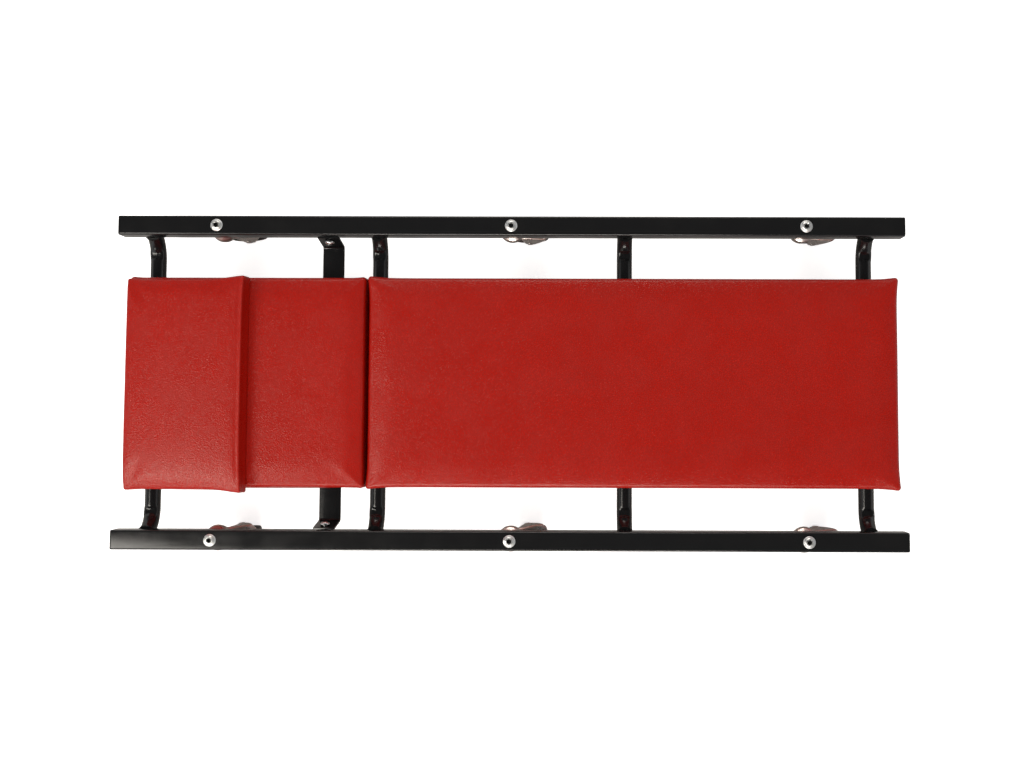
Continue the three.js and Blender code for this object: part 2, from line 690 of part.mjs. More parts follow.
addRails();
addCrossTubes();
addMainPad();
addHeadSection();
addCasters();

export default creeper;
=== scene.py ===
"""Mechanics creeper: the finished look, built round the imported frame.

Shape helpers work in millimetres; make() turns them into metres. Heights and places come from the
CAD nodes; the other sizes are the ones the CAD source uses, except for the neck edge of the pillow.
"""

import json
from contextlib import contextmanager
from math import asin, atan2, copysign, cos, exp, hypot, pi, radians, sin, sqrt, tan

import bmesh
import bpy
import numpy as np
from mathutils import Matrix, Vector, noise


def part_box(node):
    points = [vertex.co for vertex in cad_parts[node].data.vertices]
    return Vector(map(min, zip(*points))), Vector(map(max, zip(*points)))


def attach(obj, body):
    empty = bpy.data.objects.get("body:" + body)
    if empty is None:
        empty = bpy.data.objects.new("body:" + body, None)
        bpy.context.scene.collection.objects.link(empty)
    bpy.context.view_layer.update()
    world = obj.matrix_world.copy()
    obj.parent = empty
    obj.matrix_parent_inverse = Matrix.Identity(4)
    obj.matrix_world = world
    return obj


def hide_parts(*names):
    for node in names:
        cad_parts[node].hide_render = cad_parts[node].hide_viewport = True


MM = 0.001
TAU = 2 * pi
SIDES = {"left": 1, "right": -1}
ROWS = ("head", "middle", "foot")
TUBE_ROWS = ("head", "shoulder", "hip", "foot")
SCREWED_TUBES = ("shoulder", "foot")

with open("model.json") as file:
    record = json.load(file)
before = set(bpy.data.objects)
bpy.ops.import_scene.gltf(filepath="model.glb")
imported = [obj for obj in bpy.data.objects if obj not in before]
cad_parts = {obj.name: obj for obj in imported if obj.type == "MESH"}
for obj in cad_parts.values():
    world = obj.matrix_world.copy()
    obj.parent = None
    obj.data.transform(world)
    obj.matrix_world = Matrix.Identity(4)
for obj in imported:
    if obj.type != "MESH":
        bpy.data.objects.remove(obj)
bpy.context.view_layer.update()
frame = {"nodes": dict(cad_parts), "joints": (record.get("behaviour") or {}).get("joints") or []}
joints = {joint["name"]: joint for joint in frame["joints"]}


def span(node):
    """Lowest and highest corner of a CAD node, in millimetres."""
    low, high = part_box(node)
    return low / MM, high / MM


def centre_of(node):
    low, high = span(node)
    return (low + high) / 2


# ---- Sizes ----

GAP = 0.3
rail_low, rail_high = span("rail_left")
RAIL_TOP = rail_high.z
RAIL_BOTTOM = rail_low.z
RAIL_SIZE = rail_high.z - rail_low.z
RAIL_Y = (rail_low.y + rail_high.y) / 2
RAIL_Z = (rail_low.z + rail_high.z) / 2
RAIL_WALL = 1.5
RAIL_CORNER = 2.6

tube_low, tube_high = span("cross_tube_hip")
TUBE_RADIUS = (tube_high.x - tube_low.x) / 2
TUBE_Z = tube_low.z + TUBE_RADIUS
TUBE_WALL = 1.5
BEND_START_Y = 163
BEND_RADIUS = 40
BEND_ANGLE = radians(63)
BOARD_SCREW_Y = 95
WOOD_SCREW_HOLE = 2.3

main_low, main_high = span("main_cover")
head_low, head_high = span("head_cover")
pillow_low, pillow_high = span("pillow_cover")
BOARD_TOP = span("main_board")[1].z
COVER_HEM = 24
COVER_SHEET = 1.1
PILLOW_NECK_X = -337.6  # leans 3.4 mm further towards the feet than the CAD's
PILLOW_HEAD_TOP = 97

bracket_low, bracket_high = span("headrest_bracket")
BRACKET_X = (bracket_low.x + bracket_high.x) / 2
BRACKET_SHEET = 2.5
BRACKET_BEND = 2.5
BRACKET_SCREW_Y = 80
BRACKET_HOLE = 3.3
TAB_LEAN = radians(12)
TAB_TIP_Y = bracket_high.y - BRACKET_SHEET / cos(TAB_LEAN)
PIVOT_Z = joints["headrest_tilt"]["pos_m"][2] / MM
TAB_INNER_Y = TAB_TIP_Y - (bracket_high.z - PIVOT_Z) * tan(TAB_LEAN)
TAB_OUTER_Y = TAB_INNER_Y + BRACKET_SHEET / cos(TAB_LEAN)
pivot_low, pivot_high = span("pivot_screw_left")
PIVOT_HEAD_HEIGHT = 4
SCREW_PITCH = 1.4
PIVOT_SEAT_Y = pivot_low.y + PIVOT_HEAD_HEIGHT

bolt_low, bolt_high = span("caster_left_head_bolt")
cup_low, cup_high = span("caster_left_head_cup")
wheel_low, wheel_high = span("caster_left_head_wheel")
WHEEL_RADIUS = (wheel_high.z - wheel_low.z) / 2
WHEEL_HALF_WIDTH = 8.2
HUB_HALF_WIDTH = 9.6
TRAIL = 22
AXLE_TIP = 14.9
BOLT_RADIUS = 4
BOLT_SOCKET_AF = 6
CROWN_TOP = 54.5
CROWN_BOTTOM = 52.3
FORK_SHEET = 2


# ---- Outlines and surfaces ----

def smooth(value, low, high):
    """0 below low, 1 above high, with an even slope between."""
    t = min(1, max(0, (value - low) / (high - low)))
    return t * t * (3 - 2 * t)


def bell(value, width, power=2):
    return exp(-abs(value / width) ** power)


def fillet(points, steps=4):
    """Rounds the inner corners of an open outline of (x, y, corner radius) points."""
    out = [tuple(points[0][:2])]
    for before, corner, after in zip(points, points[1:], points[2:]):
        tip = Vector(corner[:2])
        if len(corner) == 2:
            out.append(tuple(tip))
            continue
        back = (Vector(before[:2]) - tip).normalized()
        on = (Vector(after[:2]) - tip).normalized()
        half = back.angle(on) / 2
        centre = tip + (back + on).normalized() * corner[2] / sin(half)
        first = tip + back * corner[2] / tan(half) - centre
        last = tip + on * corner[2] / tan(half) - centre
        turn = pi - 2 * half
        for i in range(steps + 1):
            a, b = sin(turn * (1 - i / steps)), sin(turn * i / steps)
            out.append(tuple(centre + (first * a + last * b) / sin(turn)))
    out.append(tuple(points[-1][:2]))
    return out


def evenly(points, count, closed=False):
    """Points at equal steps along a line of (x, y) points."""
    points = np.array(points)
    if closed:
        points = np.vstack([points, points[:1]])
    lengths = np.concatenate([[0], np.cumsum(np.hypot(*np.diff(points, axis=0).T))])
    at = np.linspace(0, lengths[-1], count, endpoint=not closed)
    return np.column_stack([np.interp(at, lengths, points[:, i]) for i in (0, 1)])


def skin(rings, wrap=False, caps=False):
    """Joins loops of points into a surface; a loop of one point closes an end."""
    verts, starts = [], []
    for ring in rings:
        starts.append(len(verts))
        verts.extend(ring)
    pairs = list(zip(range(len(rings)), range(1, len(rings))))
    if wrap:
        pairs.append((len(rings) - 1, 0))
    faces = []
    for a, b in pairs:
        n, m = len(rings[a]), len(rings[b])
        for k in range(max(n, m)):
            j = k + 1
            loop = (starts[a] + k % n, starts[a] + j % n, starts[b] + j % m, starts[b] + k % m)
            corners = list(dict.fromkeys(loop))
            if len(corners) > 2:
                faces.append(corners)
    if caps:
        faces.append(list(range(len(rings[0]))))
        faces.append(list(range(starts[-1], len(verts))))
    return verts, faces


def join(*surfaces):
    verts, faces = [], []
    for more, loops in surfaces:
        faces.extend([len(verts) + i for i in loop] for loop in loops)
        verts.extend(more)
    return verts, faces


def shift(x, y, z):
    return Matrix.Translation((x, y, z))


def moved(surface, matrix):
    return [tuple(matrix @ Vector(v)) for v in surface[0]], surface[1]


def lathe(profile, sides=48, warp=None):
    """Rings of an outline of (radius, height) turned round Z; warp may move each point."""
    rings = []
    for radius, height in profile:
        ring = []
        for k in range(sides if radius else 1):
            angle = TAU * k / sides
            r, z = warp(radius, height, angle) if warp else (radius, height)
            ring.append((r * cos(angle), r * sin(angle), z))
        rings.append(ring)
    return rings


def square_ring(half_x, half_y, corner, steps=5):
    """Loop round a rectangle with rounded corners."""
    loop = []
    for quarter, (sx, sy) in enumerate(((1, 1), (-1, 1), (-1, -1), (1, -1))):
        for i in range(steps + 1):
            angle = (quarter + i / steps) * TAU / 4
            x = sx * (half_x - corner) + corner * cos(angle)
            loop.append((x, sy * (half_y - corner) + corner * sin(angle)))
    return loop


def cross_recess(floor, arm=2.4, half_slot=0.55, depth=1.6):
    """Warp that presses a cross-shaped driver recess into the top of a screw head."""
    def warp(radius, height, angle):
        x, y = abs(radius * cos(angle)), abs(radius * sin(angle))
        if height > floor and max(x, y) < arm and min(x, y) < half_slot + 0.01:
            height -= depth * (1 - radius / (arm + 0.6))
        return radius, height
    return warp


# ---- Objects ----

@contextmanager
def edited(mesh):
    """The mesh as an editable BMesh, written back at the end."""
    work = bmesh.new()
    work.from_mesh(mesh)
    yield work
    work.to_mesh(mesh)
    work.free()


def place_object(name, data):
    item = bpy.data.objects.new(name, data)
    bpy.context.scene.collection.objects.link(item)
    return item


def make(name, surface):
    """Object with the surface as its mesh, doubled points joined and faces turned outward."""
    mesh = bpy.data.meshes.new(name)
    mesh.from_pydata([tuple(c * MM for c in v) for v in surface[0]], [], surface[1])
    with edited(mesh) as work:
        bmesh.ops.remove_doubles(work, verts=work.verts, dist=1e-6)
        bmesh.ops.recalc_face_normals(work, faces=work.faces)
        closed = all(edge.is_manifold for edge in work.edges)
        if closed and work.calc_volume(signed=True) < 0:
            bmesh.ops.reverse_faces(work, faces=work.faces)
    return place_object(name, mesh)


def settle(piece):
    """Applies the modifiers to the mesh."""
    graph = bpy.context.evaluated_depsgraph_get()
    mesh = bpy.data.meshes.new_from_object(piece.evaluated_get(graph), depsgraph=graph)
    piece.modifiers.clear()
    old = piece.data
    piece.data = mesh
    bpy.data.meshes.remove(old)


def drill(piece, holes):
    """Cuts round holes, each given as (centre, direction, radius, length)."""
    posts = []
    for centre, direction, radius, length in holes:
        reach = length / 2
        post = skin(lathe([(0, -reach), (radius, -reach), (radius, reach), (0, reach)], 24))
        turn = Vector((0, 0, 1)).rotation_difference(Vector(direction)).to_matrix().to_4x4()
        posts.append(moved(post, Matrix.Translation(centre) @ turn))
    cutter = make("cutter", join(*posts))
    cut = piece.modifiers.new("Holes", "BOOLEAN")
    cut.object = cutter
    cut.solver = "EXACT"
    settle(piece)
    bpy.data.meshes.remove(cutter.data)


def thicken(piece, sheet):
    """Gives a surface the thickness of its sheet, on its inner side."""
    solid = piece.modifiers.new("Sheet", "SOLIDIFY")
    solid.thickness = sheet * MM
    solid.offset = -1
    settle(piece)


def dress(piece, material, body, stands_for=(), sharp=35):
    """Material, shading (edges over sharp degrees stay sharp) and place in the mechanism."""
    piece.data.materials.clear()
    piece.data.materials.append(material)
    piece.data.shade_smooth()
    piece.data.set_sharp_from_angle(angle=radians(sharp))
    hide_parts(*stands_for)
    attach(piece, body)


# ---- Materials ----

class Nodes:
    """Builds a node tree from nodes whose inputs are plain values or other nodes' outputs."""

    def __init__(self, owner):
        owner.use_nodes = True
        self.tree = owner.node_tree
        self.tree.nodes.clear()

    def feed(self, node, inputs):
        for key, value in inputs.items():
            if isinstance(value, bpy.types.NodeSocket):
                self.tree.links.new(value, node.inputs[key])
            else:
                node.inputs[key].default_value = value

    def add(self, kind, inputs=None, **settings):
        node = self.tree.nodes.new("ShaderNode" + kind)
        for key, value in settings.items():
            setattr(node, key, value)
        self.feed(node, inputs or {})
        return node

    def remap(self, value, low, high, to_low=0.0, to_high=1.0):
        inputs = {0: value, 1: low, 2: high, 3: to_low, 4: to_high}
        return self.add("MapRange", inputs, interpolation_type="SMOOTHSTEP").outputs[0]


class Finish(Nodes):
    """Node material in the making; coordinates are the object's own, in metres."""

    def __init__(self, name):
        self.material = bpy.data.materials.new(name)
        super().__init__(self.material)
        self.surface = self.add("BsdfPrincipled")
        self.add("OutputMaterial", {0: self.surface.outputs[0]})
        self.place = self.add("TexCoord").outputs["Object"]

    def set(self, **inputs):
        self.feed(self.surface, {key.replace("_", " "): value for key, value in inputs.items()})

    def stretched(self, x, y, z):
        return self.add("Mapping", {"Vector": self.place, "Scale": (x, y, z)}).outputs[0]

    def noise(self, size, detail=3, place=None):
        """Soft cloud pattern of about the given size in millimetres, 0 to 1."""
        inputs = {"Vector": place or self.place, "Scale": 1 / (size * MM), "Detail": detail}
        return self.add("TexNoise", inputs).outputs["Fac"]

    def cells(self, size, place=None):
        """Distance to the edges of random cells of about the given size in millimetres."""
        inputs = {"Vector": place or self.place, "Scale": 1 / (size * MM)}
        return self.add("TexVoronoi", inputs, feature="DISTANCE_TO_EDGE").outputs["Distance"]

    def math(self, operation, a, b):
        return self.add("Math", {0: a, 1: b}, operation=operation).outputs[0]

    def times(self, a, b):
        return self.math("MULTIPLY", a, b)

    def mix(self, factor, a, b):
        """Color a at factor 0, color b at factor 1."""
        a, b = ((*color, 1) if isinstance(color, tuple) else color for color in (a, b))
        return self.add("Mix", {0: factor, 6: a, 7: b}, data_type="RGBA").outputs[2]

    def bump(self, height, depth, strength=1.0, under=None):
        inputs = {"Height": height, "Distance": depth * MM, "Strength": strength}
        if under:
            inputs["Normal"] = under
        return self.add("Bump", inputs).outputs[0]

    def edges(self, radius):
        """1 on edges sharper than the radius, 0 on flat faces."""
        rounded = self.add("Bevel", {"Radius": radius * MM}, samples=4).outputs[0]
        plain = self.add("NewGeometry").outputs["Normal"]
        dot = self.add("VectorMath", {0: rounded, 1: plain}, operation="DOT_PRODUCT")
        return self.remap(dot.outputs["Value"], 0.985, 0.9)

    def hollows(self, reach, open_above, shut_below):
        """1 in holes and corners, 0 where the surface is open to its surroundings."""
        inputs = {"Distance": reach * MM}
        room = self.add("AmbientOcclusion", inputs, samples=6).outputs["AO"]
        return self.remap(room, open_above, shut_below)

    def from_axis(self):
        """Distance from the object's Z axis, in metres."""
        flat = self.stretched(1, 1, 0)
        return self.add("VectorMath", {0: flat}, operation="LENGTH").outputs["Value"]


def tint(color, factor):
    return tuple(min(1, c * factor) for c in color)


def red_vinyl():
    """Upholstery vinyl: leather grain of small cells, wider tone changes, a soft gloss and a painted
    highlight on edges and folds.
    """
    finish = Finish("red_vinyl")
    red = (0.368, 0.0048, 0.0006)
    wander = finish.add("TexNoise", {"Vector": finish.place, "Scale": 400.0}).outputs["Color"]
    shift = finish.add("VectorMath", {0: wander, "Scale": 0.0012}, operation="SCALE")
    bent = finish.add("VectorMath", {0: finish.place, 1: shift.outputs[0]}, operation="ADD")
    grain = finish.remap(finish.cells(2.2, place=bent.outputs[0]), 0.0, 0.26)
    pores = finish.noise(0.5, 2)
    mottle = finish.noise(2.6, 3)
    tone = finish.remap(finish.noise(90, 2), 0.35, 0.65)
    base = finish.mix(tone, tint(red, 0.96), tint(red, 1.04))
    base = finish.mix(finish.remap(mottle, 0.3, 0.7, 0.5, 0), base, tint(red, 0.72))
    color = finish.mix(grain, tint(red, 0.72), base)
    # Painted highlight: sharp edges and folds are lightened towards a brighter red.
    color = finish.mix(finish.times(finish.edges(2.2), 0.4), color, (0.62, 0.055, 0.04))
    wide = finish.remap(finish.noise(35, 3), 0.3, 0.7, 0.28, 0.34)
    roughness = finish.math("SUBTRACT", wide, finish.times(grain, 0.05))
    height = finish.math("ADD", grain, finish.times(pores, 0.35))
    wave = finish.bump(finish.noise(14, 2), 0.35, 0.35)
    wave = finish.bump(mottle, 0.28, 0.55, wave)
    normal = finish.bump(height, 0.13, 0.75, wave)
    finish.set(Base_Color=color, Roughness=roughness, Normal=normal)
    finish.set(Specular_IOR_Level=0.38, Specular_Tint=(1, 0.94, 0.88, 1))
    return finish.material


def black_paint():
    """Powder coat: orange peel, faint dust and edges rubbed a little lighter."""
    finish = Finish("black_paint")
    black = (0.0058, 0.0058, 0.0062)
    dust = finish.remap(finish.noise(60, 5), 0.5, 0.8, 0, 0.35)
    color = finish.mix(dust, black, (0.0108, 0.0104, 0.01))
    worn = finish.times(finish.edges(0.9), finish.remap(finish.noise(7, 4), 0.45, 0.7))
    color = finish.mix(finish.times(worn, 0.5), color, (0.05, 0.05, 0.05))
    roughness = finish.remap(finish.noise(25, 4), 0.3, 0.7, 0.15, 0.23)
    peel = finish.bump(finish.noise(1.6, 2), 0.05, 0.35)
    finish.set(Base_Color=color, Roughness=roughness, Normal=peel, Specular_IOR_Level=0.5)
    return finish.material


def black_plastic():
    """Moulded cap: fine spark texture and a slightly polished rim."""
    finish = Finish("black_plastic")
    rim = finish.edges(0.8)
    color = finish.mix(finish.noise(4, 4), (0.010, 0.010, 0.011), (0.016, 0.016, 0.017))
    roughness = finish.remap(rim, 0, 1, 0.55, 0.38)
    finish.set(Base_Color=color, Roughness=roughness, Normal=finish.bump(finish.noise(0.5, 3), 0.05, 0.6))
    return finish.material


def wheel_plastic():
    """Hard wheel: moulding marks and a tread dulled by dust and small scratches."""
    finish = Finish("wheel_plastic")
    tread = finish.remap(finish.from_axis(), (WHEEL_RADIUS - 1.2) * MM, (WHEEL_RADIUS - 0.2) * MM)
    scuff = finish.times(tread, finish.remap(finish.noise(2.5, 5), 0.4, 0.65))
    color = finish.mix(finish.noise(12, 3), (0.016, 0.012, 0.012), (0.026, 0.019, 0.019))
    color = finish.mix(scuff, color, (0.07, 0.062, 0.058))
    roughness = finish.remap(scuff, 0, 1, 0.34, 0.62)
    finish.set(Base_Color=color, Roughness=roughness, Normal=finish.bump(finish.noise(0.8, 3), 0.04, 0.5))
    return finish.material


def zinc(name, light, dark, low_gloss, high_gloss, socket=0.0):
    """Zinc plate: uneven lustre, fine drawing lines, dull spots, and painted shade in corners and in a socket
    if one is given.
    """
    finish = Finish(name)
    color = finish.mix(finish.noise(9, 4), light, dark)
    spots = finish.remap(finish.noise(1.4, 4), 0.58, 0.75)
    color = finish.mix(finish.times(spots, 0.35), color, tint(dark, 0.6))
    # Painted shade: an ambient-occlusion mask of corners and hollows, widened by the socket hole below.
    shaded_hollows = finish.hollows(5, 0.72, 0.42)
    if socket:
        hole = finish.remap(finish.from_axis(), (socket + 0.5) * MM, socket * MM)
        shaded_hollows = finish.math("MAXIMUM", shaded_hollows, hole)
    # Painted shade: the masked hollows and socket are darkened to near black.
    color = finish.mix(finish.times(shaded_hollows, 0.95), color, (0.006, 0.005, 0.005))
    lines = finish.noise(0.35, 2, finish.stretched(0.12, 1, 1))
    dull = finish.times(finish.math("MAXIMUM", spots, shaded_hollows), 0.2)
    gloss = finish.remap(finish.noise(5, 3), 0.3, 0.7, low_gloss, high_gloss)
    roughness = finish.math("ADD", gloss, dull)
    finish.set(Base_Color=color, Metallic=1.0, Roughness=roughness, Normal=finish.bump(lines, 0.02, 0.4))
    return finish.material


def foam():
    """Open-cell foam: pores of two sizes and faint yellowing."""
    finish = Finish("foam")
    pores = finish.remap(finish.cells(1.3), 0.0, 0.35)
    fine = finish.cells(0.6)
    color = finish.mix(finish.noise(40, 3), (0.70, 0.58, 0.34), (0.78, 0.69, 0.46))
    color = finish.mix(pores, (0.34, 0.26, 0.13), color)
    height = finish.math("ADD", pores, fine)
    finish.set(Base_Color=color, Roughness=0.95, Normal=finish.bump(height, 0.5, 0.8))
    return finish.material


def plywood():
    """Plywood: long grain on the faces, dark glue lines between the plies on the edges."""
    finish = Finish("plywood")
    grain = finish.noise(5, 5, finish.stretched(0.06, 1, 1))
    fibres = finish.noise(0.8, 3, finish.stretched(0.03, 1, 1))
    color = finish.mix(finish.remap(grain, 0.3, 0.7), (0.52, 0.33, 0.16), (0.68, 0.48, 0.27))
    color = finish.mix(finish.remap(fibres, 0.55, 0.8, 0, 0.5), color, (0.34, 0.19, 0.08))
    height = finish.add("SeparateXYZ", {0: finish.place}).outputs["Z"]
    ply = finish.math("SINE", finish.times(height, TAU / (2.0 * MM)), 0.0)
    glue = finish.remap(ply, 0.55, 0.95, 0, 0.75)
    normal = finish.add("NewGeometry").outputs["Normal"]
    upward = finish.add("SeparateXYZ", {0: normal}).outputs["Z"]
    side = finish.remap(finish.math("ABSOLUTE", upward, 0.0), 0.6, 0.3)
    color = finish.mix(finish.times(glue, side), color, (0.20, 0.11, 0.05))
    finish.set(Base_Color=color, Roughness=0.72, Normal=finish.bump(fibres, 0.12, 0.6))
    return finish.material


RED_VINYL = red_vinyl()
BLACK_PAINT = black_paint()
BLACK_PLASTIC = black_plastic()
WHEEL_PLASTIC = wheel_plastic()
ZINC = zinc("zinc", (0.80, 0.78, 0.72), (0.72, 0.74, 0.78), 0.17, 0.27)
# Lighter, duller zinc for the king bolts, with painted shade in the hexagon socket.
BOLT_ZINC = zinc("bolt_zinc", (0.95, 0.94, 0.90), (0.86, 0.87, 0.88), 0.26, 0.40, BOLT_SOCKET_AF / 2 - 0.3)
# Painted shade: a darker copy of the zinc for the cups and forks, standing in for the darker surroundings
# that they reflect.
SHADED_ZINC = zinc("shaded_zinc", (0.80, 0.76, 0.70), (0.56, 0.50, 0.50), 0.26, 0.38)
FOAM = foam()
PLYWOOD = plywood()


# ---- Rails and end plugs ----

def rail_surface(low, high):
    """Square tube along X, centred on Y and Z zero, with its cut ends just broken."""
    rings = []
    broken = 0.3
    outer, inner = RAIL_SIZE / 2, RAIL_SIZE / 2 - RAIL_WALL
    stations = [(low, outer - broken), (low + broken, outer), (high - broken, outer)]
    stations += [(high, outer - broken), (high, inner), (low, inner)]
    for x, half in stations:
        corner = RAIL_CORNER if half > inner else RAIL_CORNER - RAIL_WALL
        rings.append([(x, y, z) for y, z in square_ring(half, half, corner, 6)])
    return skin(rings, wrap=True)


PLUG_CAP = 2


def plug_surface():
    """Cap with a slightly crowned face and a hollow insert, its face towards +Z."""
    seat = PLUG_CAP
    insert = RAIL_SIZE / 2 - RAIL_WALL - GAP
    rim = RAIL_SIZE / 2 - 0.1
    outline = fillet([(0.01, seat), (rim - 4, seat - 0.15, 3), (rim, seat - 0.9, 0.5), (rim, 0)], 3)
    rings = [[(0, 0, seat)]]
    for half, z in outline[1:]:
        rings.append([(x, y, z) for x, y in square_ring(half, half, min(RAIL_CORNER, 0.45 * half))])
    hollow = insert - 1.5
    for half, z in ((insert, 0), (insert, -11), (insert - 0.6, -12), (hollow, -12), (hollow, -0.4)):
        rings.append([(x, y, z) for x, y in square_ring(half, half, 0.8)])
    rings.append([(0, 0, -0.4)])
    return skin(rings)


def build_rails():
    surface = rail_surface(rail_low.x, rail_high.x)
    plug = plug_surface()
    for side, sign in SIDES.items():
        at = shift(0, sign * RAIL_Y, RAIL_Z)
        rail = make(f"{side}_rail", moved(surface, at))
        holes = []
        for row in ROWS:
            x = joints[f"swivel_{side}_{row}_turn"]["pos_m"][0] / MM
            holes.append(((x, sign * RAIL_Y, RAIL_Z), (0, 0, 1), BOLT_RADIUS + GAP, 2 * RAIL_SIZE))
        inner_y = sign * (RAIL_Y - RAIL_SIZE / 2)
        holes.append(((BRACKET_X, inner_y, PIVOT_Z), (0, 1, 0), BRACKET_HOLE, 6 * RAIL_WALL))
        drill(rail, holes)
        dress(rail, BLACK_PAINT, "frame", [f"rail_{side}"])
        for end, sense in (("head", -1), ("foot", 1)):
            low, high = span(f"end_plug_{side}_{end}")
            seat = (high.x if sense > 0 else low.x) - sense * PLUG_CAP
            turn = Matrix.Rotation(sense * TAU / 4, 4, "Y")
            cap = moved(plug, shift(seat, sign * RAIL_Y, RAIL_Z) @ turn)
            name = f"{side}_{end}_plug"
            dress(make(name, cap), BLACK_PLASTIC, "frame", [f"end_plug_{side}_{end}"])


# ---- Cross tubes ----

DENT_AT = 7
DENT_LENGTH = 6.5
DENT_DEPTH = 2.0
DENT_ANGLE = radians(36)
SWELL = 0.55
SWELL_AT = 1.1
SWELL_WIDTH = 0.3
BEAD_SIZE = 1.7


def tube_point(s, phi, radius):
    """Point on one half of a bent cross tube: s runs along it from the start of the bend."""
    turn = min(BEND_ANGLE, max(0, s / BEND_RADIUS))
    straight = s if s < 0 else max(0, s - BEND_RADIUS * BEND_ANGLE)
    y = BEND_START_Y + BEND_RADIUS * sin(turn) + straight * cos(turn)
    z = TUBE_Z + BEND_RADIUS * (1 - cos(turn)) + straight * sin(turn)
    away = abs(phi - TAU / 4)
    crush = bell(s - DENT_AT, DENT_LENGTH, 4)
    radius -= DENT_DEPTH * crush * bell(away, DENT_ANGLE, 4)
    radius += SWELL * crush * bell(away - SWELL_AT, SWELL_WIDTH)
    rise = radius * sin(phi)
    return radius * cos(phi), y - rise * sin(turn), z + rise * cos(turn)


def tube_end(phi, radius):
    """How far along the tube it meets the underside of the rail."""
    low, high = DENT_AT, 3 * BEND_RADIUS
    for _ in range(30):  # halves the range each time
        middle = (low + high) / 2
        if tube_point(middle, phi, radius)[2] < RAIL_BOTTOM - 0.05:
            low = middle
        else:
            high = middle
    return low


def tube_x(row):
    return centre_of(f"cross_tube_{row}").x


def tube_rings(radius, sides=56):
    """Rings of half a tube, from its middle to the rail, over the crushed start of the bend."""
    angles = [TAU * k / sides for k in range(sides)]
    ends = [tube_end(phi, radius) for phi in angles]
    stations = [-BEND_START_Y, -BEND_START_Y / 2, -30, -12] + [-5 + i for i in range(24)]
    start = stations[-1]
    rings = [[tube_point(s, phi, radius) for phi in angles] for s in stations]
    for i in range(1, 9):
        lengths = [start + (end - start) * i / 8 for end in ends]
        rings.append([tube_point(s, phi, radius) for s, phi in zip(lengths, angles)])
    return rings


def mirrored(rings):
    """The same rings on both sides of Y zero, from one end to the other."""
    other = [[(x, -y, z) for x, y, z in ring] for ring in reversed(rings)]
    return other + rings[1:]


def weld_bead(seam, sign, seed):
    """Rippled fillet weld that follows the joint of tube and rail."""
    middle = sum((Vector(p) for p in seam), Vector()) / len(seam)
    rings = []
    steps = 3 * len(seam)
    for i in range(steps):
        k, part = divmod(i, 3)
        here = Vector(seam[k]).lerp(Vector(seam[(k + 1) % len(seam)]), part / 3)
        out = (here - middle).normalized()
        wander = noise.noise(here * 0.25 + Vector((seed, 0, 0)))
        size = BEAD_SIZE + 0.22 * sin(TAU * i / 7) + 0.35 * wander
        ring = []
        for j in range(8):
            a = TAU * j / 8
            p = here + out * (0.5 + size * cos(a)) + Vector((0, 0, -0.6 + size * sin(a)))
            ring.append((p.x, sign * p.y, min(p.z, RAIL_BOTTOM - 0.02)))
        rings.append(ring)
    return skin(rings, wrap=True)


def build_cross_tubes():
    outer, inner = tube_rings(TUBE_RADIUS), tube_rings(TUBE_RADIUS - TUBE_WALL)
    tube = skin(mirrored(outer) + mirrored(inner)[::-1], wrap=True)
    for number, row in enumerate(TUBE_ROWS):
        at = shift(tube_x(row), 0, 0)
        piece = make(f"{row}_tube", moved(tube, at))
        if row in SCREWED_TUBES:
            points = [(at.translation.x, sign * BOARD_SCREW_Y, TUBE_Z) for sign in (1, -1)]
            drill(piece, [(point, (0, 0, 1), WOOD_SCREW_HOLE, 3 * TUBE_RADIUS) for point in points])
        beads = [moved(weld_bead(outer[-1], sign, 3 * number + sign), at) for sign in (1, -1)]
        bead = make("bead", join(*beads))
        with edited(piece.data) as work:
            work.from_mesh(bead.data)
        bpy.data.meshes.remove(bead.data)
        dress(piece, BLACK_PAINT, "frame", [f"cross_tube_{row}"])


# ---- Headrest bracket and pivots ----

def bracket_surface():
    """Flat bar across the creeper with both ends bent up, its cut edges just rounded."""
    bar_z = bracket_low.z + BRACKET_SHEET / 2
    top = bracket_high.z
    lean = tan(TAB_LEAN)

    def tab(z):
        return TAB_INNER_Y + BRACKET_SHEET / 2 / cos(TAB_LEAN) + (z - PIVOT_Z) * lean

    bend = BRACKET_BEND + BRACKET_SHEET / 2
    ends = [top, top - 0.4, top - 0.9, top - 1.6, top - 8]
    path = [(-tab(z), z) for z in ends]
    path += [(-tab(bar_z), bar_z, bend), (-BRACKET_SCREW_Y, bar_z)]
    path += [(BRACKET_SCREW_Y, bar_z), (tab(bar_z), bar_z, bend)]
    path += [(tab(z), z) for z in reversed(ends)]
    path = fillet(path, 8)
    half_width = (bracket_high.x - bracket_low.x) / 2
    corner = 1.6
    rings = []
    for i, (y, z) in enumerate(path):
        before, after = Vector(path[max(0, i - 1)]), Vector(path[min(len(path) - 1, i + 1)])
        along = (after - before).normalized()
        up = Vector((-along.y, along.x))
        left_over = min(corner, top - z)
        narrow = corner - sqrt(max(0, corner**2 - (corner - left_over) ** 2))
        ring = []
        for x, t in square_ring(half_width - narrow, BRACKET_SHEET / 2, 0.5, 2):
            ring.append((BRACKET_X + x, y + up.x * t, min(z + up.y * t, top)))
        rings.append(ring)
    return skin(rings, caps=True)


def screw_surface(length, radius, head_radius, head_height, dome):
    """Screw along -Z with its head above zero and a cross recess in the head."""
    top = head_height + dome
    brim = 0.55 * head_height
    rim = [(head_radius, 0), (head_radius, brim)]
    crown = []
    for i in range(12):
        r = head_radius * (0.97 - i * 0.08)
        crown.append((r, brim + (top - brim) * sqrt(1 - (r / head_radius) ** 2)))
    thread = []
    turns = int((length - 6) / SCREW_PITCH)
    for i in range(turns):
        z = -3 - SCREW_PITCH * i
        thread += [(radius * 0.72, z), (radius, z - 0.5), (radius * 0.72, z - 1.0)]
    profile = [(0, -length), (radius * 0.6, -length + 2.4)] + thread[::-1]
    profile += [(radius, -2), (radius, 0), *rim, *crown, (0, top)]
    return skin(lathe(profile, 48, cross_recess(head_height * 0.6)))


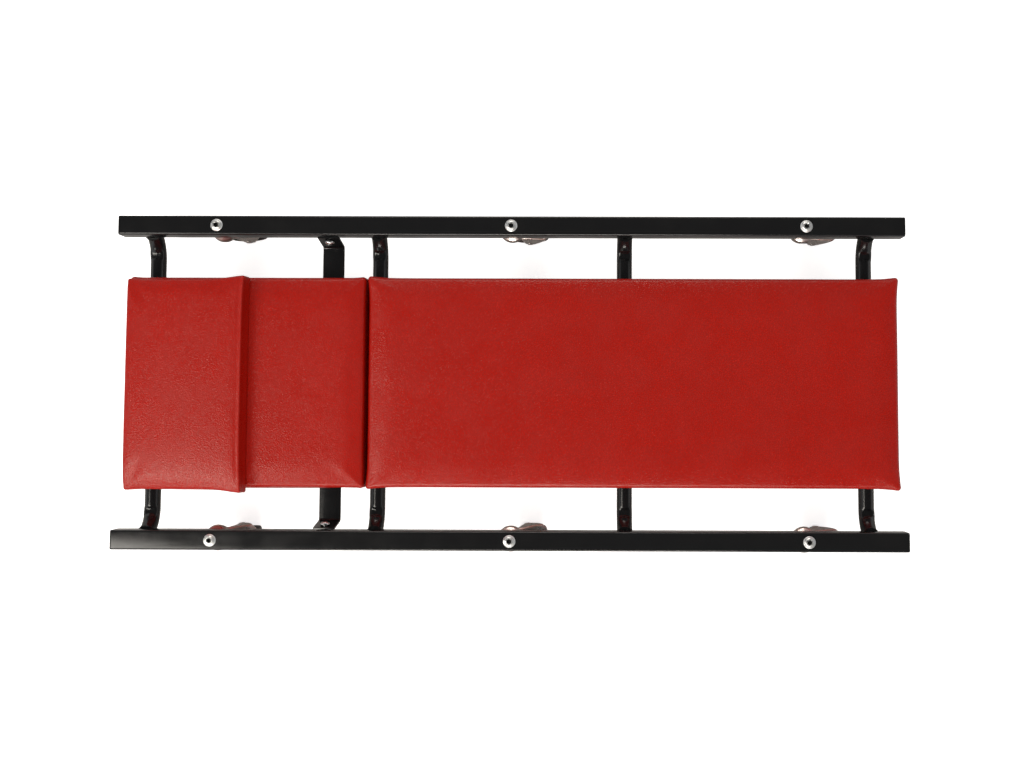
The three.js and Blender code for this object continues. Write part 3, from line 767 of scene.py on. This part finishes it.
def boss_surface():
    """Flat conical boss, hollow for the pivot screw, its nose towards +Z."""
    room = RAIL_Y - RAIL_SIZE / 2 - GAP - TAB_OUTER_Y
    tab_reach = bracket_high.z - PIVOT_Z
    shoulder = room - tab_reach * tan(TAB_LEAN)
    nose = room - 4.5 * tan(TAB_LEAN)
    outline = [(BRACKET_HOLE, 0), (11.5, 0), (11.2, 0.35, 0.2), (tab_reach, shoulder, 3)]
    outline += [(4.5, nose, 0.3), (BRACKET_HOLE, nose)]
    return skin(lathe(fillet(outline), 56), wrap=True)


def build_headrest_metal():
    bracket = make("bracket", bracket_surface())
    holes = []
    for sign in SIDES.values():
        holes.append(((BRACKET_X, sign * TAB_INNER_Y, PIVOT_Z), (0, 1, 0), BRACKET_HOLE, 9))
        point = (BRACKET_X, sign * BRACKET_SCREW_Y, bracket_low.z)
        holes.append((point, (0, 0, 1), WOOD_SCREW_HOLE, 9))
    drill(bracket, holes)
    dress(bracket, BLACK_PAINT, "headrest", ["headrest_bracket"], 30)
    boss = boss_surface()
    brim = 1.6
    pivot = screw_surface(pivot_high.y - PIVOT_SEAT_Y, 3, 6, brim, PIVOT_HEAD_HEIGHT - brim)
    for side, sign in SIDES.items():
        turn = Matrix.Rotation(sign * TAU / 4, 4, "X")
        at = shift(BRACKET_X, sign * (RAIL_Y - RAIL_SIZE / 2), PIVOT_Z) @ turn
        name = f"pivot_boss_{side}"
        dress(make(f"{side}_boss", moved(boss, at)), BLACK_PAINT, "frame", [name])
        at = shift(BRACKET_X, sign * PIVOT_SEAT_Y, PIVOT_Z) @ turn
        name = f"pivot_screw_{side}"
        dress(make(f"{side}_pivot", moved(pivot, at)), ZINC, "frame", [name], 25)


def build_wood_screws():
    """Pan-head screws, heads down, under the cross tubes and the bracket."""
    flip = Matrix.Rotation(TAU / 2, 4, "X")
    names = [(f"board_screw_{row}_{side}", "frame") for row in SCREWED_TUBES for side in SIDES]
    names += [(f"bracket_screw_{side}", "headrest") for side in SIDES]
    head, dome = 1.5, 0.8
    for name, body in names:
        low, high = span(name)
        seat = low.z + head + dome
        screw = screw_surface(high.z - seat, 2, 4, head, dome)
        at = shift(*centre_of(name).xy, seat) @ flip
        dress(make(f"{name}_piece", moved(screw, at)), ZINC, body, [name], 25)


# ---- Casters ----

def bolt_surface():
    """King bolt: flange, knurled raised ring round a hexagon socket, shank and peened end."""
    seat, top = RAIL_TOP + 0.05, bolt_high.z
    flange, head = (bolt_high.x - bolt_low.x) / 2, 5.9
    socket = BOLT_SOCKET_AF / 2
    outside = [(0, bolt_low.z), (4.5, bolt_low.z, 1), (6.4, bolt_low.z + 1.6, 0.8), (6.4, CROWN_BOTTOM - 0.1)]
    outside += [(BOLT_RADIUS, CROWN_BOTTOM - 0.1), (BOLT_RADIUS, seat), (flange - 0.2, seat, 0.2)]
    outside += [(flange, seat + 0.5, 0.3), (flange - 1, seat + 1.5, 0.6), (head, seat + 1.7, 0.3)]
    outside += [(head, top - 1.0, 0.4), (head - 0.9, top - 0.3, 1)]
    outside += [(socket + 1.2, top, 0.6), (socket + 0.5, top)]
    inside = [(socket, top - 0.4), (socket, seat - 1), (socket * 0.5, seat - 1.1), (0, seat - 1.4)]
    profile = fillet(outside) + inside

    def warp(radius, height, angle):
        if height > seat - 1.05 and radius <= socket + 0.01:
            turn = (angle + TAU / 12) % (TAU / 6) - TAU / 12
            return radius / cos(turn), height
        if height > top - 1.2 and radius > head - 0.75:
            radius += 0.09 * sin(24 * angle)
        return radius, height

    return skin(lathe(profile, 96, warp))


def cup_surface():
    """Stamped bearing cup with a rolled lip."""
    top, lip = RAIL_BOTTOM - 0.05, cup_low.z
    edge = (cup_high.x - cup_low.x) / 2
    bore = BOLT_RADIUS + GAP
    outline = [(bore, top - 2), (bore, top), (11.4, top, 1), (15.6, top - 3, 2), (edge, lip + 1.6, 0.8)]
    outline += [(edge - 0.4, lip, 0.5), (15.2, lip, 0.3), (14.2, top - 5.2, 1.5)]
    outline += [(10.6, top - 2, 1), (bore, top - 2)]
    return skin(lathe(fillet(outline), 64), wrap=True)


def wheel_surface():
    """Moulded wheel, axis along Z: crowned tread with a parting line, ribbed web and hub."""
    bore, edge = 3.3, WHEEL_RADIUS
    half, hub, web = WHEEL_HALF_WIDTH, HUB_HALF_WIDTH, 5.6
    points = [(bore, hub - 1), (bore, hub - 0.4, 0.3), (bore + 0.5, hub, 0.2), (7.6, hub, 0.5)]
    points += [(8.6, web, 1), (18.6, web, 1.2), (20.4, half, 0.5)]
    points += [(edge - 1.6, half, 1.2), (edge - 0.25, half - 2.4, 2), (edge, 1.2)]
    near = fillet(points, 3)
    dense = []
    for (r0, z0), (r1, z1) in zip(near, near[1:]):
        steps = max(1, round(hypot(r1 - r0, z1 - z0) / 1.6))
        dense += [(r0 + (r1 - r0) * i / steps, z0 + (z1 - z0) * i / steps) for i in range(steps)]
    near = dense + [(edge, 0.5), (edge, 0.12)]
    profile = near + [(edge - 0.12, 0)] + [(r, -z) for r, z in reversed(near)]

    def warp(radius, height, angle):
        on_web = smooth(radius, 8.2, 9.6) * smooth(radius, 20.2, 18.4) if 8 < radius < 20.5 else 0
        if on_web and abs(height) < half - 0.5:
            rib = smooth(cos(8 * angle), 0.72, 0.94)
            height += copysign(1.9 * rib * on_web, height)
        return radius, height

    return skin(lathe(profile, 96, warp), wrap=True)


def axle_surface():
    """Axle rivet along Z: washer and domed head outside each leg."""
    leg = 13.6
    side = [(3, leg - 1.0), (3, leg - 0.9), (5.2, leg - 0.9, 0.2), (5.2, leg - 0.05, 0.2), (4.6, leg)]
    side += [(4.5, leg + 0.3, 0.4), (3.2, AXLE_TIP - 0.3, 0.8), (0, AXLE_TIP)]
    half = fillet(side)
    return skin(lathe([(r, -z) for r, z in reversed(half)] + half, 48))


# Fork seen from above, its left half: round front, waist, flared rear and narrow tail. The track
# is the section of the raised ball track: distance from the swivel axis and height.
FRONT_RADIUS = 16
WAIST = (19, 12.1)
REAR = (42.5, 13.6)
TAIL = (48.4, 8)
FRONT_TURN = radians(48)
EDGE_BEND = 2
SHOULDER = 3.6
SHOULDER_SLOPE = radians(22)
TRACK_RADIUS = 13.2
TRACK = ((4.3, 57.3), (7.4, 57.5), (10.2, 57.4), (11.2, 57.0), (11.9, 56.0), (12.5, 55.0))
SKIRT_Z = 50.6
LEG_FRONT = 10.5
LEG_REAR = 43.5
LEG_END_RADIUS = 7.5


def fork_outline(count=168):
    """Evenly spaced points round the crown of the fork."""
    arc = []
    for i in range(25):
        angle = TAU / 2 - (TAU / 2 - FRONT_TURN) * i / 24
        arc.append((FRONT_RADIUS * cos(angle), FRONT_RADIUS * sin(angle)))
    tail = [arc[-1], (13.6, 12.1, 7), WAIST, (*REAR, 5), (*TAIL, 3), (TAIL[0] + 0.2, 0)]
    half = arc + fillet(tail, 8)[1:]
    return evenly(half + [(x, -y) for x, y in reversed(half[1:-1])], count, closed=True)


def leg_edge(count=60):
    """Lower edge of a leg in side view: from the crown round the axle and back to the crown."""
    centre = Vector((TRAIL, WHEEL_RADIUS))

    def touch(start, sense):
        to = centre - start
        swing = asin(LEG_END_RADIUS / to.length)
        reach = sqrt(to.length**2 - LEG_END_RADIUS**2)
        way = atan2(to.y, to.x) + sense * swing
        return start + reach * Vector((cos(way), sin(way)))

    front, rear = Vector((LEG_FRONT, SKIRT_Z)), Vector((LEG_REAR, SKIRT_Z))
    first, last = touch(front, -1), touch(rear, 1)
    a = atan2(*(first - centre).yx)
    b = atan2(*(last - centre).yx)
    a += TAU if a < 0 else 0
    b += TAU if b < a else 0
    arc = [centre + LEG_END_RADIUS * Vector((cos(t), sin(t))) for t in np.linspace(a, b, 24)]
    return evenly([tuple(p) for p in (front, *arc, rear)], count)


def fork_surface():
    """Stamped fork as one sheet: track, crown, sloping shoulder, turned-down edge and two legs."""
    outline = fork_outline()
    count = len(outline)
    ahead, behind = np.roll(outline, -1, axis=0), np.roll(outline, 1, axis=0)
    way = ahead - behind
    way /= np.hypot(*way.T)[:, None]
    out = np.column_stack([-way[:, 1], way[:, 0]])
    out *= np.sign((out * outline).sum(axis=1))[:, None]
    edge = leg_edge()
    side = outline[(outline[:, 1] > 5) & (outline[:, 0] > 0) & (outline[:, 0] < LEG_REAR + 1)]
    side = side[np.argsort(side[:, 0])]

    def side_y(x):
        return float(np.interp(x, side[:, 0], side[:, 1]))

    def column(k):
        (px, py), (nx, ny) = outline[k], out[k]
        length = hypot(px, py)
        points = []
        for r, z in TRACK:
            points.append((px / length * r, py / length * r, z))
        start = Vector((px, py)) * TRACK_RADIUS / length
        points.append((*start, CROWN_TOP))
        band = EDGE_BEND * (1 - sin(SHOULDER_SLOPE))
        inner = Vector((px - nx * band, py - ny * band))
        width = min(SHOULDER, 0.8 * (inner - start).length)
        knee = inner + (start - inner).normalized() * width
        for i in range(1, 4):
            flat = start.lerp(knee, i / 3)
            rib = 0.9 * bell(flat.y, 4.2) * smooth(flat.x, 15, 22) * smooth(flat.x, 47, 41)
            points.append((flat.x, flat.y, CROWN_TOP + rib))
        for i in range(1, 4):
            slope = knee.lerp(inner, i / 3)
            points.append((slope.x, slope.y, CROWN_TOP - tan(SHOULDER_SLOPE) * width * i / 3))
        shoulder_z = points[-1][2]
        for i in range(1, 5):
            a = SHOULDER_SLOPE + (TAU / 4 - SHOULDER_SLOPE) * i / 4
            reach = EDGE_BEND * (sin(a) - sin(SHOULDER_SLOPE))
            drop = EDGE_BEND * (cos(SHOULDER_SLOPE) - cos(a))
            points.append((inner.x + nx * reach, inner.y + ny * reach, shoulder_z - drop))
        leg = LEG_FRONT < px < LEG_REAR
        foot = (px, SKIRT_Z)
        if leg:
            t = (px - LEG_FRONT) / (LEG_REAR - LEG_FRONT)
            foot = tuple(np.interp(t, np.linspace(0, 1, len(edge)), edge[:, i]) for i in (0, 1))
        top_z = points[-1][2]
        for i in range(1, 17):
            x = px + (foot[0] - px) * i / 16
            z = top_z + (foot[1] - top_z) * i / 16
            y = py
            if leg:
                near = hypot(x - TRAIL, z - WHEEL_RADIUS)
                bulge = 0.5 * smooth(near, 8.5, 5.5) + 0.7 * smooth(z, 48, 34) * smooth(x, 12, 20)
                y = copysign(side_y(x) + bulge, py)
            points.append((x, y, z))
        return points

    columns = [column(k) for k in range(count)]
    return skin([[columns[k][row] for k in range(count)] for row in range(len(columns[0]))])


def build_casters():
    """The shapes are made once, and each caster shows the same meshes."""
    shapes = {
        "bolt": (bolt_surface(), BOLT_ZINC, "zinc"),
        "cup": (cup_surface(), SHADED_ZINC, "zinc"),
        "fork": (fork_surface(), SHADED_ZINC, "zinc"),
        "axle": (axle_surface(), ZINC, "zinc"),
        "wheel": (wheel_surface(), WHEEL_PLASTIC, "wheel_plastic"),
    }
    models = {part: make(f"{part}_shape", surface) for part, (surface, _, _) in shapes.items()}
    thicken(models["fork"], FORK_SHEET)
    for side in SIDES:
        for row in ROWS:
            swivel = joints[f"swivel_{side}_{row}_turn"]["pos_m"]
            axis = joints[f"wheel_{side}_{row}_spin"]["axis"]
            stand = shift(swivel[0], swivel[1], 0)
            turned = stand @ Matrix.Rotation(atan2(-axis[0], axis[1]), 4, "Z")
            axle = turned @ shift(TRAIL * MM, 0, WHEEL_RADIUS * MM)
            upright = axle @ Matrix.Rotation(TAU / 4, 4, "X")
            places = {
                "bolt": (stand, "frame"),
                "cup": (stand, "frame"),
                "fork": (turned, f"swivel_{side}_{row}"),
                "axle": (upright, f"swivel_{side}_{row}"),
                "wheel": (upright, f"wheel_{side}_{row}"),
            }
            for part, (place, body) in places.items():
                _, material, slot = shapes[part]
                piece = place_object(f"{side}_{row}_{part}", models[part].data)
                piece.matrix_world = place
                dress(piece, material, body, [f"caster_{side}_{row}_{part}"])
    for model in models.values():
        bpy.data.objects.remove(model)


# ---- Cushions ----

EDGE_STEPS = (1.4, 1.8, 2.4, 3.4)


def axis_lines(half, radius, spacing, steps=4):
    """Grid positions along one side of a box whose edges are rounded."""
    flat = half - radius
    margin = sum(EDGE_STEPS)
    count = max(1, round(2 * (flat - margin) / spacing))
    inner = [(flat - margin) * (2 * i / count - 1) for i in range(count + 1)]
    for step in reversed(EDGE_STEPS):
        inner = [inner[0] - step, *inner, inner[-1] + step]
    rim = [flat + radius * tan(TAU / 8 * k / steps) for k in range(1, steps + 1)]
    return [-r for r in reversed(rim)] + inner + rim


def rounded_box(half, radius, spacing):
    """Closed grid of quads on a box with rounded edges, centred on the origin."""
    lines = [axis_lines(h, radius, spacing) for h in half]
    last = [len(line) - 1 for line in lines]
    verts, index = [], {}

    def corner(key):
        if key not in index:
            point = Vector(line[i] for line, i in zip(lines, key))
            core = Vector(max(radius - h, min(h - radius, c)) for h, c in zip(half, point))
            index[key] = len(verts)
            verts.append(core + (point - core).normalized() * radius)
        return index[key]

    faces = []
    for axis in range(3):
        u, v = (axis + 1) % 3, (axis + 2) % 3
        for end in (0, last[axis]):
            for i in range(last[u]):
                for j in range(last[v]):
                    loop = []
                    for di, dj in ((0, 0), (1, 0), (1, 1), (0, 1)):
                        key = [0, 0, 0]
                        key[axis], key[u], key[v] = end, i + di, j + dj
                        loop.append(corner(tuple(key)))
                    faces.append(loop)
    return verts, faces


def read(mesh, what):
    """Positions ("co") or directions ("normal") of a mesh's points, one row each, in metres."""
    values = np.zeros(3 * len(mesh.vertices), np.float32)
    mesh.vertices.foreach_get(what, values)
    return values.reshape(-1, 3).astype(float)


def set_coordinates(mesh, values):
    mesh.vertices.foreach_set("co", values.astype(np.float32).ravel())
    mesh.update()


CLOTH_STEPS = 20
SINKING_SHARE = 0.3
HELD_BAND = 1.5
CLOTH = {
    "quality": 6,
    "mass": 0.4,
    "tension_stiffness": 25,
    "compression_stiffness": 25,
    "shear_stiffness": 12,
    "bending_stiffness": 3,
    "use_pressure": True,
    "uniform_pressure_force": 4.0,
}


def inflate(piece, pinned, cap):
    """Cloth simulation of a cushion skin held by its pinned points; no point moves past cap."""
    start = read(piece.data, "co")
    group = piece.vertex_groups.new(name="held")
    group.add([int(i) for i in pinned], 1.0, "REPLACE")
    cloth = piece.modifiers.new("Cloth", "CLOTH")
    for key, value in CLOTH.items():
        setattr(cloth.settings, key, value)
    cloth.settings.vertex_group_mass = group.name
    cloth.settings.effector_weights.gravity = 0
    cloth.point_cache.frame_start = 1
    cloth.point_cache.frame_end = CLOTH_STEPS
    scene = bpy.context.scene
    for step in range(1, CLOTH_STEPS + 1):
        scene.frame_set(step)
        graph = bpy.context.evaluated_depsgraph_get()
    shown = piece.evaluated_get(graph)
    move = read(shown.to_mesh(), "co") - start
    shown.to_mesh_clear()
    piece.modifiers.clear()
    piece.vertex_groups.clear()
    scene.frame_set(1)
    sinking = (move * read(piece.data, "normal")).sum(axis=1) < 0
    move[sinking] *= SINKING_SHARE
    length = np.maximum(np.hypot(np.hypot(move[:, 0], move[:, 1]), move[:, 2]), 1e-9)
    limit = cap * MM
    move *= (limit * np.tanh(length / limit) / length)[:, None]
    set_coordinates(piece.data, start + move)


CUSHION_SHARP = 60
PAD_DRAW = -0.2
PAD_CORNER = 5
PAD_DROP = 3.6
PAD_SOFT = 11
FLARE_REACH = 20


def pad_shape(low, high, flare):
    """Pad skin: crowned top, edges drawn in above the board, corners standing out by the flare."""
    half = (high - low) / 2
    centre = (high + low) / 2
    verts, faces = rounded_box(half, PAD_CORNER, 6)
    shaped = []
    for x, y, z in verts:
        to_end, to_side = half.x - abs(x), half.y - abs(y)
        height = centre.z + z
        top = smooth(height, BOARD_TOP + 2, high.z - 4)
        body = smooth(height, low.z + 1, BOARD_TOP)
        crown = (1 - exp(-to_end / PAD_SOFT)) * (1 - exp(-to_side / PAD_SOFT))
        px, py = centre.x + x, y
        draw = PAD_DRAW * top + 0.5 * body
        spread = body * flare
        end_shift = spread * bell(to_side, FLARE_REACH) - 0.5 * draw * (1 - 0.5 * bell(to_side, 30))
        side_shift = spread * bell(to_end, FLARE_REACH) - draw * (1 - 0.5 * bell(to_end, 30))
        px += copysign(1, x) * bell(to_end, 14) * end_shift
        py += copysign(1, y) * bell(to_side, 14) * side_shift
        sag = 0.5 * noise.noise(Vector((px, py, 0)) / 90)
        shaped.append((px, py, height + top * (PAD_DROP * (crown - 0.8) + sag)))
    return shaped, faces


def pillow_shape(radius):
    """Wedge skin: thin at the head end, steep at the neck, its corners standing out."""
    low, high = pillow_low, pillow_high
    half = Vector(((high.x - low.x) / 2, (high.y - low.y) / 2, 12))
    verts, faces = rounded_box(half, radius, 5)
    shaped = []
    for x, y, z in verts:
        t = (z / half.z + 1) / 2
        along = (x / half.x + 1) / 2
        right = high.x + (PILLOW_NECK_X - high.x) * t
        px = low.x + along * (right - low.x)
        ridge = min(1, (px - low.x) / (PILLOW_NECK_X - low.x))
        top = PILLOW_HEAD_TOP + (high.z - PILLOW_HEAD_TOP) * ridge
        to_side, to_neck = half.y - abs(y), max(0, PILLOW_NECK_X - px)
        side, reach, draw = (1, 9, 6.0) if y > 0 else (-1, 17, -0.6)
        top += 2.2 * sin(pi * ridge)
        top -= 0.36 * reach * exp(-to_side / reach) * (1 - 0.6 * ridge**6)
        top += 0.9 * bell(to_neck - 1.0, 1.3) - 0.3 * bell(to_neck - 4.6, 1.8)
        spread = 4.2 * bell(max(0, high.x - px), 26) + 1.5 * bell(px - low.x, 18) - draw
        py = y + side * bell(to_side, 16) * spread
        px += 1.4 * along**8 * (bell(to_side, 20) - 0.5 * (1 - bell(to_side, 60))) * t
        droop = 2.4 * (1 - t) * max(bell(to_side, 9, 1), bell(px - low.x, 9, 1))
        shaped.append((px, py, low.z + t * (top - low.z) - droop))
    return shaped, faces


def crease(points, normals, start, end, width, depth):
    """Presses a soft groove along a line; points and normals are in metres."""
    a, b = np.array(start) * MM, np.array(end) * MM
    line = b - a
    t = np.clip((points - a) @ line / (line @ line), 0, 1)
    gap = np.linalg.norm(points - (a + t[:, None] * line), axis=1)
    fade = np.sin(np.pi * np.clip(t, 0.02, 0.98)) ** 0.5
    press = depth * MM * np.exp(-((gap / (width * MM)) ** 2)) * fade
    return points - normals * press[:, None]


def corner_folds(piece, low, high):
    """Slanted folds where the vinyl is gathered round each upright corner of a pad."""
    mesh = piece.data
    points, normals = read(mesh, "co"), read(mesh, "normal")
    top = high.z
    for number, (sx, sy) in enumerate(((1, 1), (1, -1), (-1, 1), (-1, -1))):
        x = high.x if sx > 0 else low.x
        y = high.y if sy > 0 else low.y
        wobble = noise.noise(Vector((x, y, number)) / 50) * 4
        foot = (x - sx * 2, y - sy * 2, low.z)
        spread = 20 + wobble
        points = crease(points, normals, foot, (x - sx * spread, y, top - 9), 2.6, 1.1)
        points = crease(points, normals, foot, (x, y - sy * (spread - 4), top - 11), 2.6, 1.1)
        points = crease(points, normals, foot, (x - sx * COVER_HEM, y - sy * COVER_HEM, low.z), 2.2, 0.8)
    set_coordinates(mesh, points)


def open_below(piece, low, high):
    """Cuts the opening inside the hem, smooths the skin and gives it the vinyl's thickness."""
    with edited(piece.data) as work:
        inside = []
        for face in work.faces:
            x, y, z = face.calc_center_median() / MM
            clear_x = low.x + COVER_HEM < x < high.x - COVER_HEM
            if z < low.z + 1 and clear_x and abs(y) < high.y - COVER_HEM:
                inside.append(face)
        bmesh.ops.delete(work, geom=inside, context="FACES")
    finer = piece.modifiers.new("Finer", "SUBSURF")
    finer.levels = finer.render_levels = 1
    settle(piece)
    thicken(piece, COVER_SHEET)


def build_cover(name, node, shape, cap, folds, body):
    """Vinyl cover: the shape, blown up by the cloth simulation and opened inside its hem."""
    low, high = span(node)
    piece = make(name, shape)
    heights = read(piece.data, "co")[:, 2] / MM
    inflate(piece, np.nonzero(heights < low.z + HELD_BAND)[0], cap)
    if folds:
        corner_folds(piece, low, high)
    open_below(piece, low, high)
    dress(piece, RED_VINYL, body, [node], CUSHION_SHARP)


def pad_foam(node):
    """Foam block with softened edges and a slight crown, inside the cover."""
    low, high = span(node)
    half, centre = (high - low) / 2, (high + low) / 2
    half -= Vector((2.2, 2.2, 0.8))
    centre.z -= 0.8
    verts, faces = rounded_box(half, PAD_CORNER, 14)
    shaped = []
    for x, y, z in verts:
        crown = (1 - exp(-(half.x - abs(x)) / 12)) * (1 - exp(-(half.y - abs(y)) / 12))
        shaped.append((centre.x + x, y, centre.z + z - (2.6 * (1 - crown) if z > 0 else 0)))
    return shaped, faces


def pillow_foam(node):
    """The pillow's own shape, shrunk so that it stays clear of the skin."""
    middle = Vector(((pillow_low.x + pillow_high.x) / 2, 0, pillow_low.z + 6))
    shrink = Matrix.Diagonal((0.93, 0.945, 0.70, 1))
    return moved(pillow_shape(4), Matrix.Translation(middle) @ shrink @ Matrix.Translation(-middle))


STAPLE_SPACING = 42


def staple(x, y, z, turn):
    """One staple crown, pressed into the hem, as a bent wire."""
    path = fillet([(-5.5, 0.9), (-5.5, 0, 0.5), (5.5, 0, 0.5), (5.5, 0.9)], 3)
    rings = []
    for along, rise in path:
        lean = copysign(smooth(rise, 0, 0.7), along)
        ring = []
        for a in range(6):
            wide, thick = 0.55 * cos(TAU * a / 6), 0.3 * sin(TAU * a / 6)
            ring.append((along + thick * lean, wide, rise + thick * (1 - abs(lean))))
        rings.append(ring)
    at = shift(x, y, z) @ Matrix.Rotation(turn, 4, "Z")
    return moved(skin(rings, caps=True), at)


def build_staples(name, low, high, body, blocked):
    """Staples round the hem, left out where a tube or the bracket covers it."""
    inset = COVER_HEM * 0.6
    z = low.z - 0.25
    slant = 0.25
    first, last = low.x + 20, high.x - 20
    found = []
    count = round((high.x - low.x) / STAPLE_SPACING)
    for i in range(count + 1):
        x = first + (last - first) * i / count
        if all(abs(x - b) > 22 for b in blocked):
            for sign in (1, -1):
                turn = slant * noise.noise(Vector((x, sign, 0.5)))
                found.append(staple(x, sign * (high.y - inset), z, turn))
    for i in range(6):
        y = (high.y - 22) * (2 * i / 5 - 1)
        for x in (low.x + inset, high.x - inset):
            if all(abs(x - b) > 17 for b in blocked):
                turn = TAU / 4 + slant * noise.noise(Vector((x, y, 0.5)))
                found.append(staple(x, y, z, turn))
    dress(make(name, join(*found)), ZINC, body)


def build_cushions():
    main = pad_shape(main_low, main_high, 1.7)
    head = pad_shape(head_low, head_high, 0.3)
    build_cover("main_pad", "main_cover", main, 1.6, True, "frame")
    build_cover("head_pad", "head_cover", head, 1.6, True, "headrest")
    build_cover("pillow", "pillow_cover", pillow_shape(3), 0.7, False, "headrest")
    foams = (("main", pad_foam, "frame"), ("head", pad_foam, "headrest"), ("pillow", pillow_foam, "headrest"))
    for name, shape, body in foams:
        node = f"{name}_foam"
        dress(make(f"{name}_filling", shape(node)), FOAM, body, [node], CUSHION_SHARP)
    tubes = [tube_x(row) for row in TUBE_ROWS]
    build_staples("main_staples", main_low, main_high, "frame", tubes)
    build_staples("head_staples", head_low, head_high, "headrest", tubes + [BRACKET_X])


def build_boards():
    """The CAD boards stay, with their edges broken and a plywood finish."""
    for name in ("main_board", "head_board"):
        board = frame["nodes"][name]
        bevel = board.modifiers.new("Edges", "BEVEL")
        bevel.width = 0.4 * MM
        bevel.segments = 2
        bevel.limit_method = "ANGLE"
        board.data.materials.clear()
        board.data.materials.append(PLYWOOD)


# ---- Studio ----

WALLS = 1.1
CEILING = 0.12
AMBIENT = 0.72
FLOOR_REACH = 9000
FLOOR_Z = -0.2


def build_floor():
    corners = ((-1, -1), (1, -1), (1, 1), (-1, 1))
    sheet = [(x * FLOOR_REACH, y * FLOOR_REACH, FLOOR_Z) for x, y in corners]
    floor = make("floor", (sheet, [[0, 1, 2, 3]]))
    finish = Finish("floor")
    path = finish.add("LightPath").outputs
    color = finish.mix(finish.noise(400, 2), (0.86, 0.86, 0.86), (0.89, 0.89, 0.89))
    color = finish.mix(path["Is Glossy Ray"], color, (0.42, 0.41, 0.40))
    glow = finish.times(path["Is Camera Ray"], 0.66)
    finish.set(Base_Color=color, Roughness=0.9, Emission_Color=(1, 1, 1, 1), Emission_Strength=glow)
    floor.data.materials.append(finish.material)


def build_world():
    """Pale walls and a dim ceiling in reflections, even light elsewhere, white for the camera."""
    world = bpy.data.worlds.new("studio")
    bpy.context.scene.world = world
    nodes = Nodes(world)
    way = nodes.add("TexCoord").outputs["Generated"]
    path = nodes.add("LightPath").outputs
    glow = nodes.remap(nodes.add("SeparateXYZ", {0: way}).outputs["Z"], 0.15, 0.65, WALLS, CEILING)
    glow = nodes.add("Mix", {0: path["Is Diffuse Ray"], 2: glow, 3: AMBIENT}).outputs[0]
    glow = nodes.add("Mix", {0: path["Is Camera Ray"], 2: glow, 3: 1.0}).outputs[0]
    shade = nodes.add("Background", {"Strength": glow})
    nodes.add("OutputWorld", {0: shade.outputs[0]})


def area_light(name, place, target, size_x, size_y, power, glossy=True):
    lamp = bpy.data.lights.new(name, "AREA")
    lamp.shape = "RECTANGLE"
    lamp.size, lamp.size_y = size_x, size_y
    lamp.energy = power
    lamp.color = (1.0, 0.95, 0.87)
    holder = place_object(name, lamp)
    holder.location = place
    holder.rotation_euler = (Vector(target) - Vector(place)).to_track_quat("-Z", "Y").to_euler()
    holder.visible_glossy = glossy
    holder.visible_camera = False


def build_studio():
    build_floor()
    build_world()
    area_light("window", (-1.70, -0.95, 2.0), (-0.4, -0.1, 0.0), 1.05, 1.1, 31)
    area_light("near_strip", (-0.1, -2.3, 1.35), (0, 0, 0), 1.6, 0.6, 42)
    area_light("far_strip", (-0.1, 2.3, 1.35), (0, 0, 0), 1.6, 0.5, 17)
    area_light("ceiling", (0.3, 0.2, 2.6), (0, 0, 0), 3.2, 2.6, 10, glossy=False)
    camera = bpy.data.cameras.new("camera")
    camera.lens = 36.87
    camera.shift_x = -0.0569
    camera.shift_y = -0.0227
    holder = place_object("camera", camera)
    holder.location = (0.0833, -0.0472, 1.4273)
    holder.rotation_mode = "ZYX"
    holder.rotation_euler = (0.0559, 0.0049, 0.003)
    bpy.context.scene.camera = holder
    bpy.context.scene.view_settings.view_transform = "Standard"


build_rails()
build_cross_tubes()
build_headrest_metal()
build_wood_screws()
build_casters()
build_cushions()
build_boards()
build_studio()
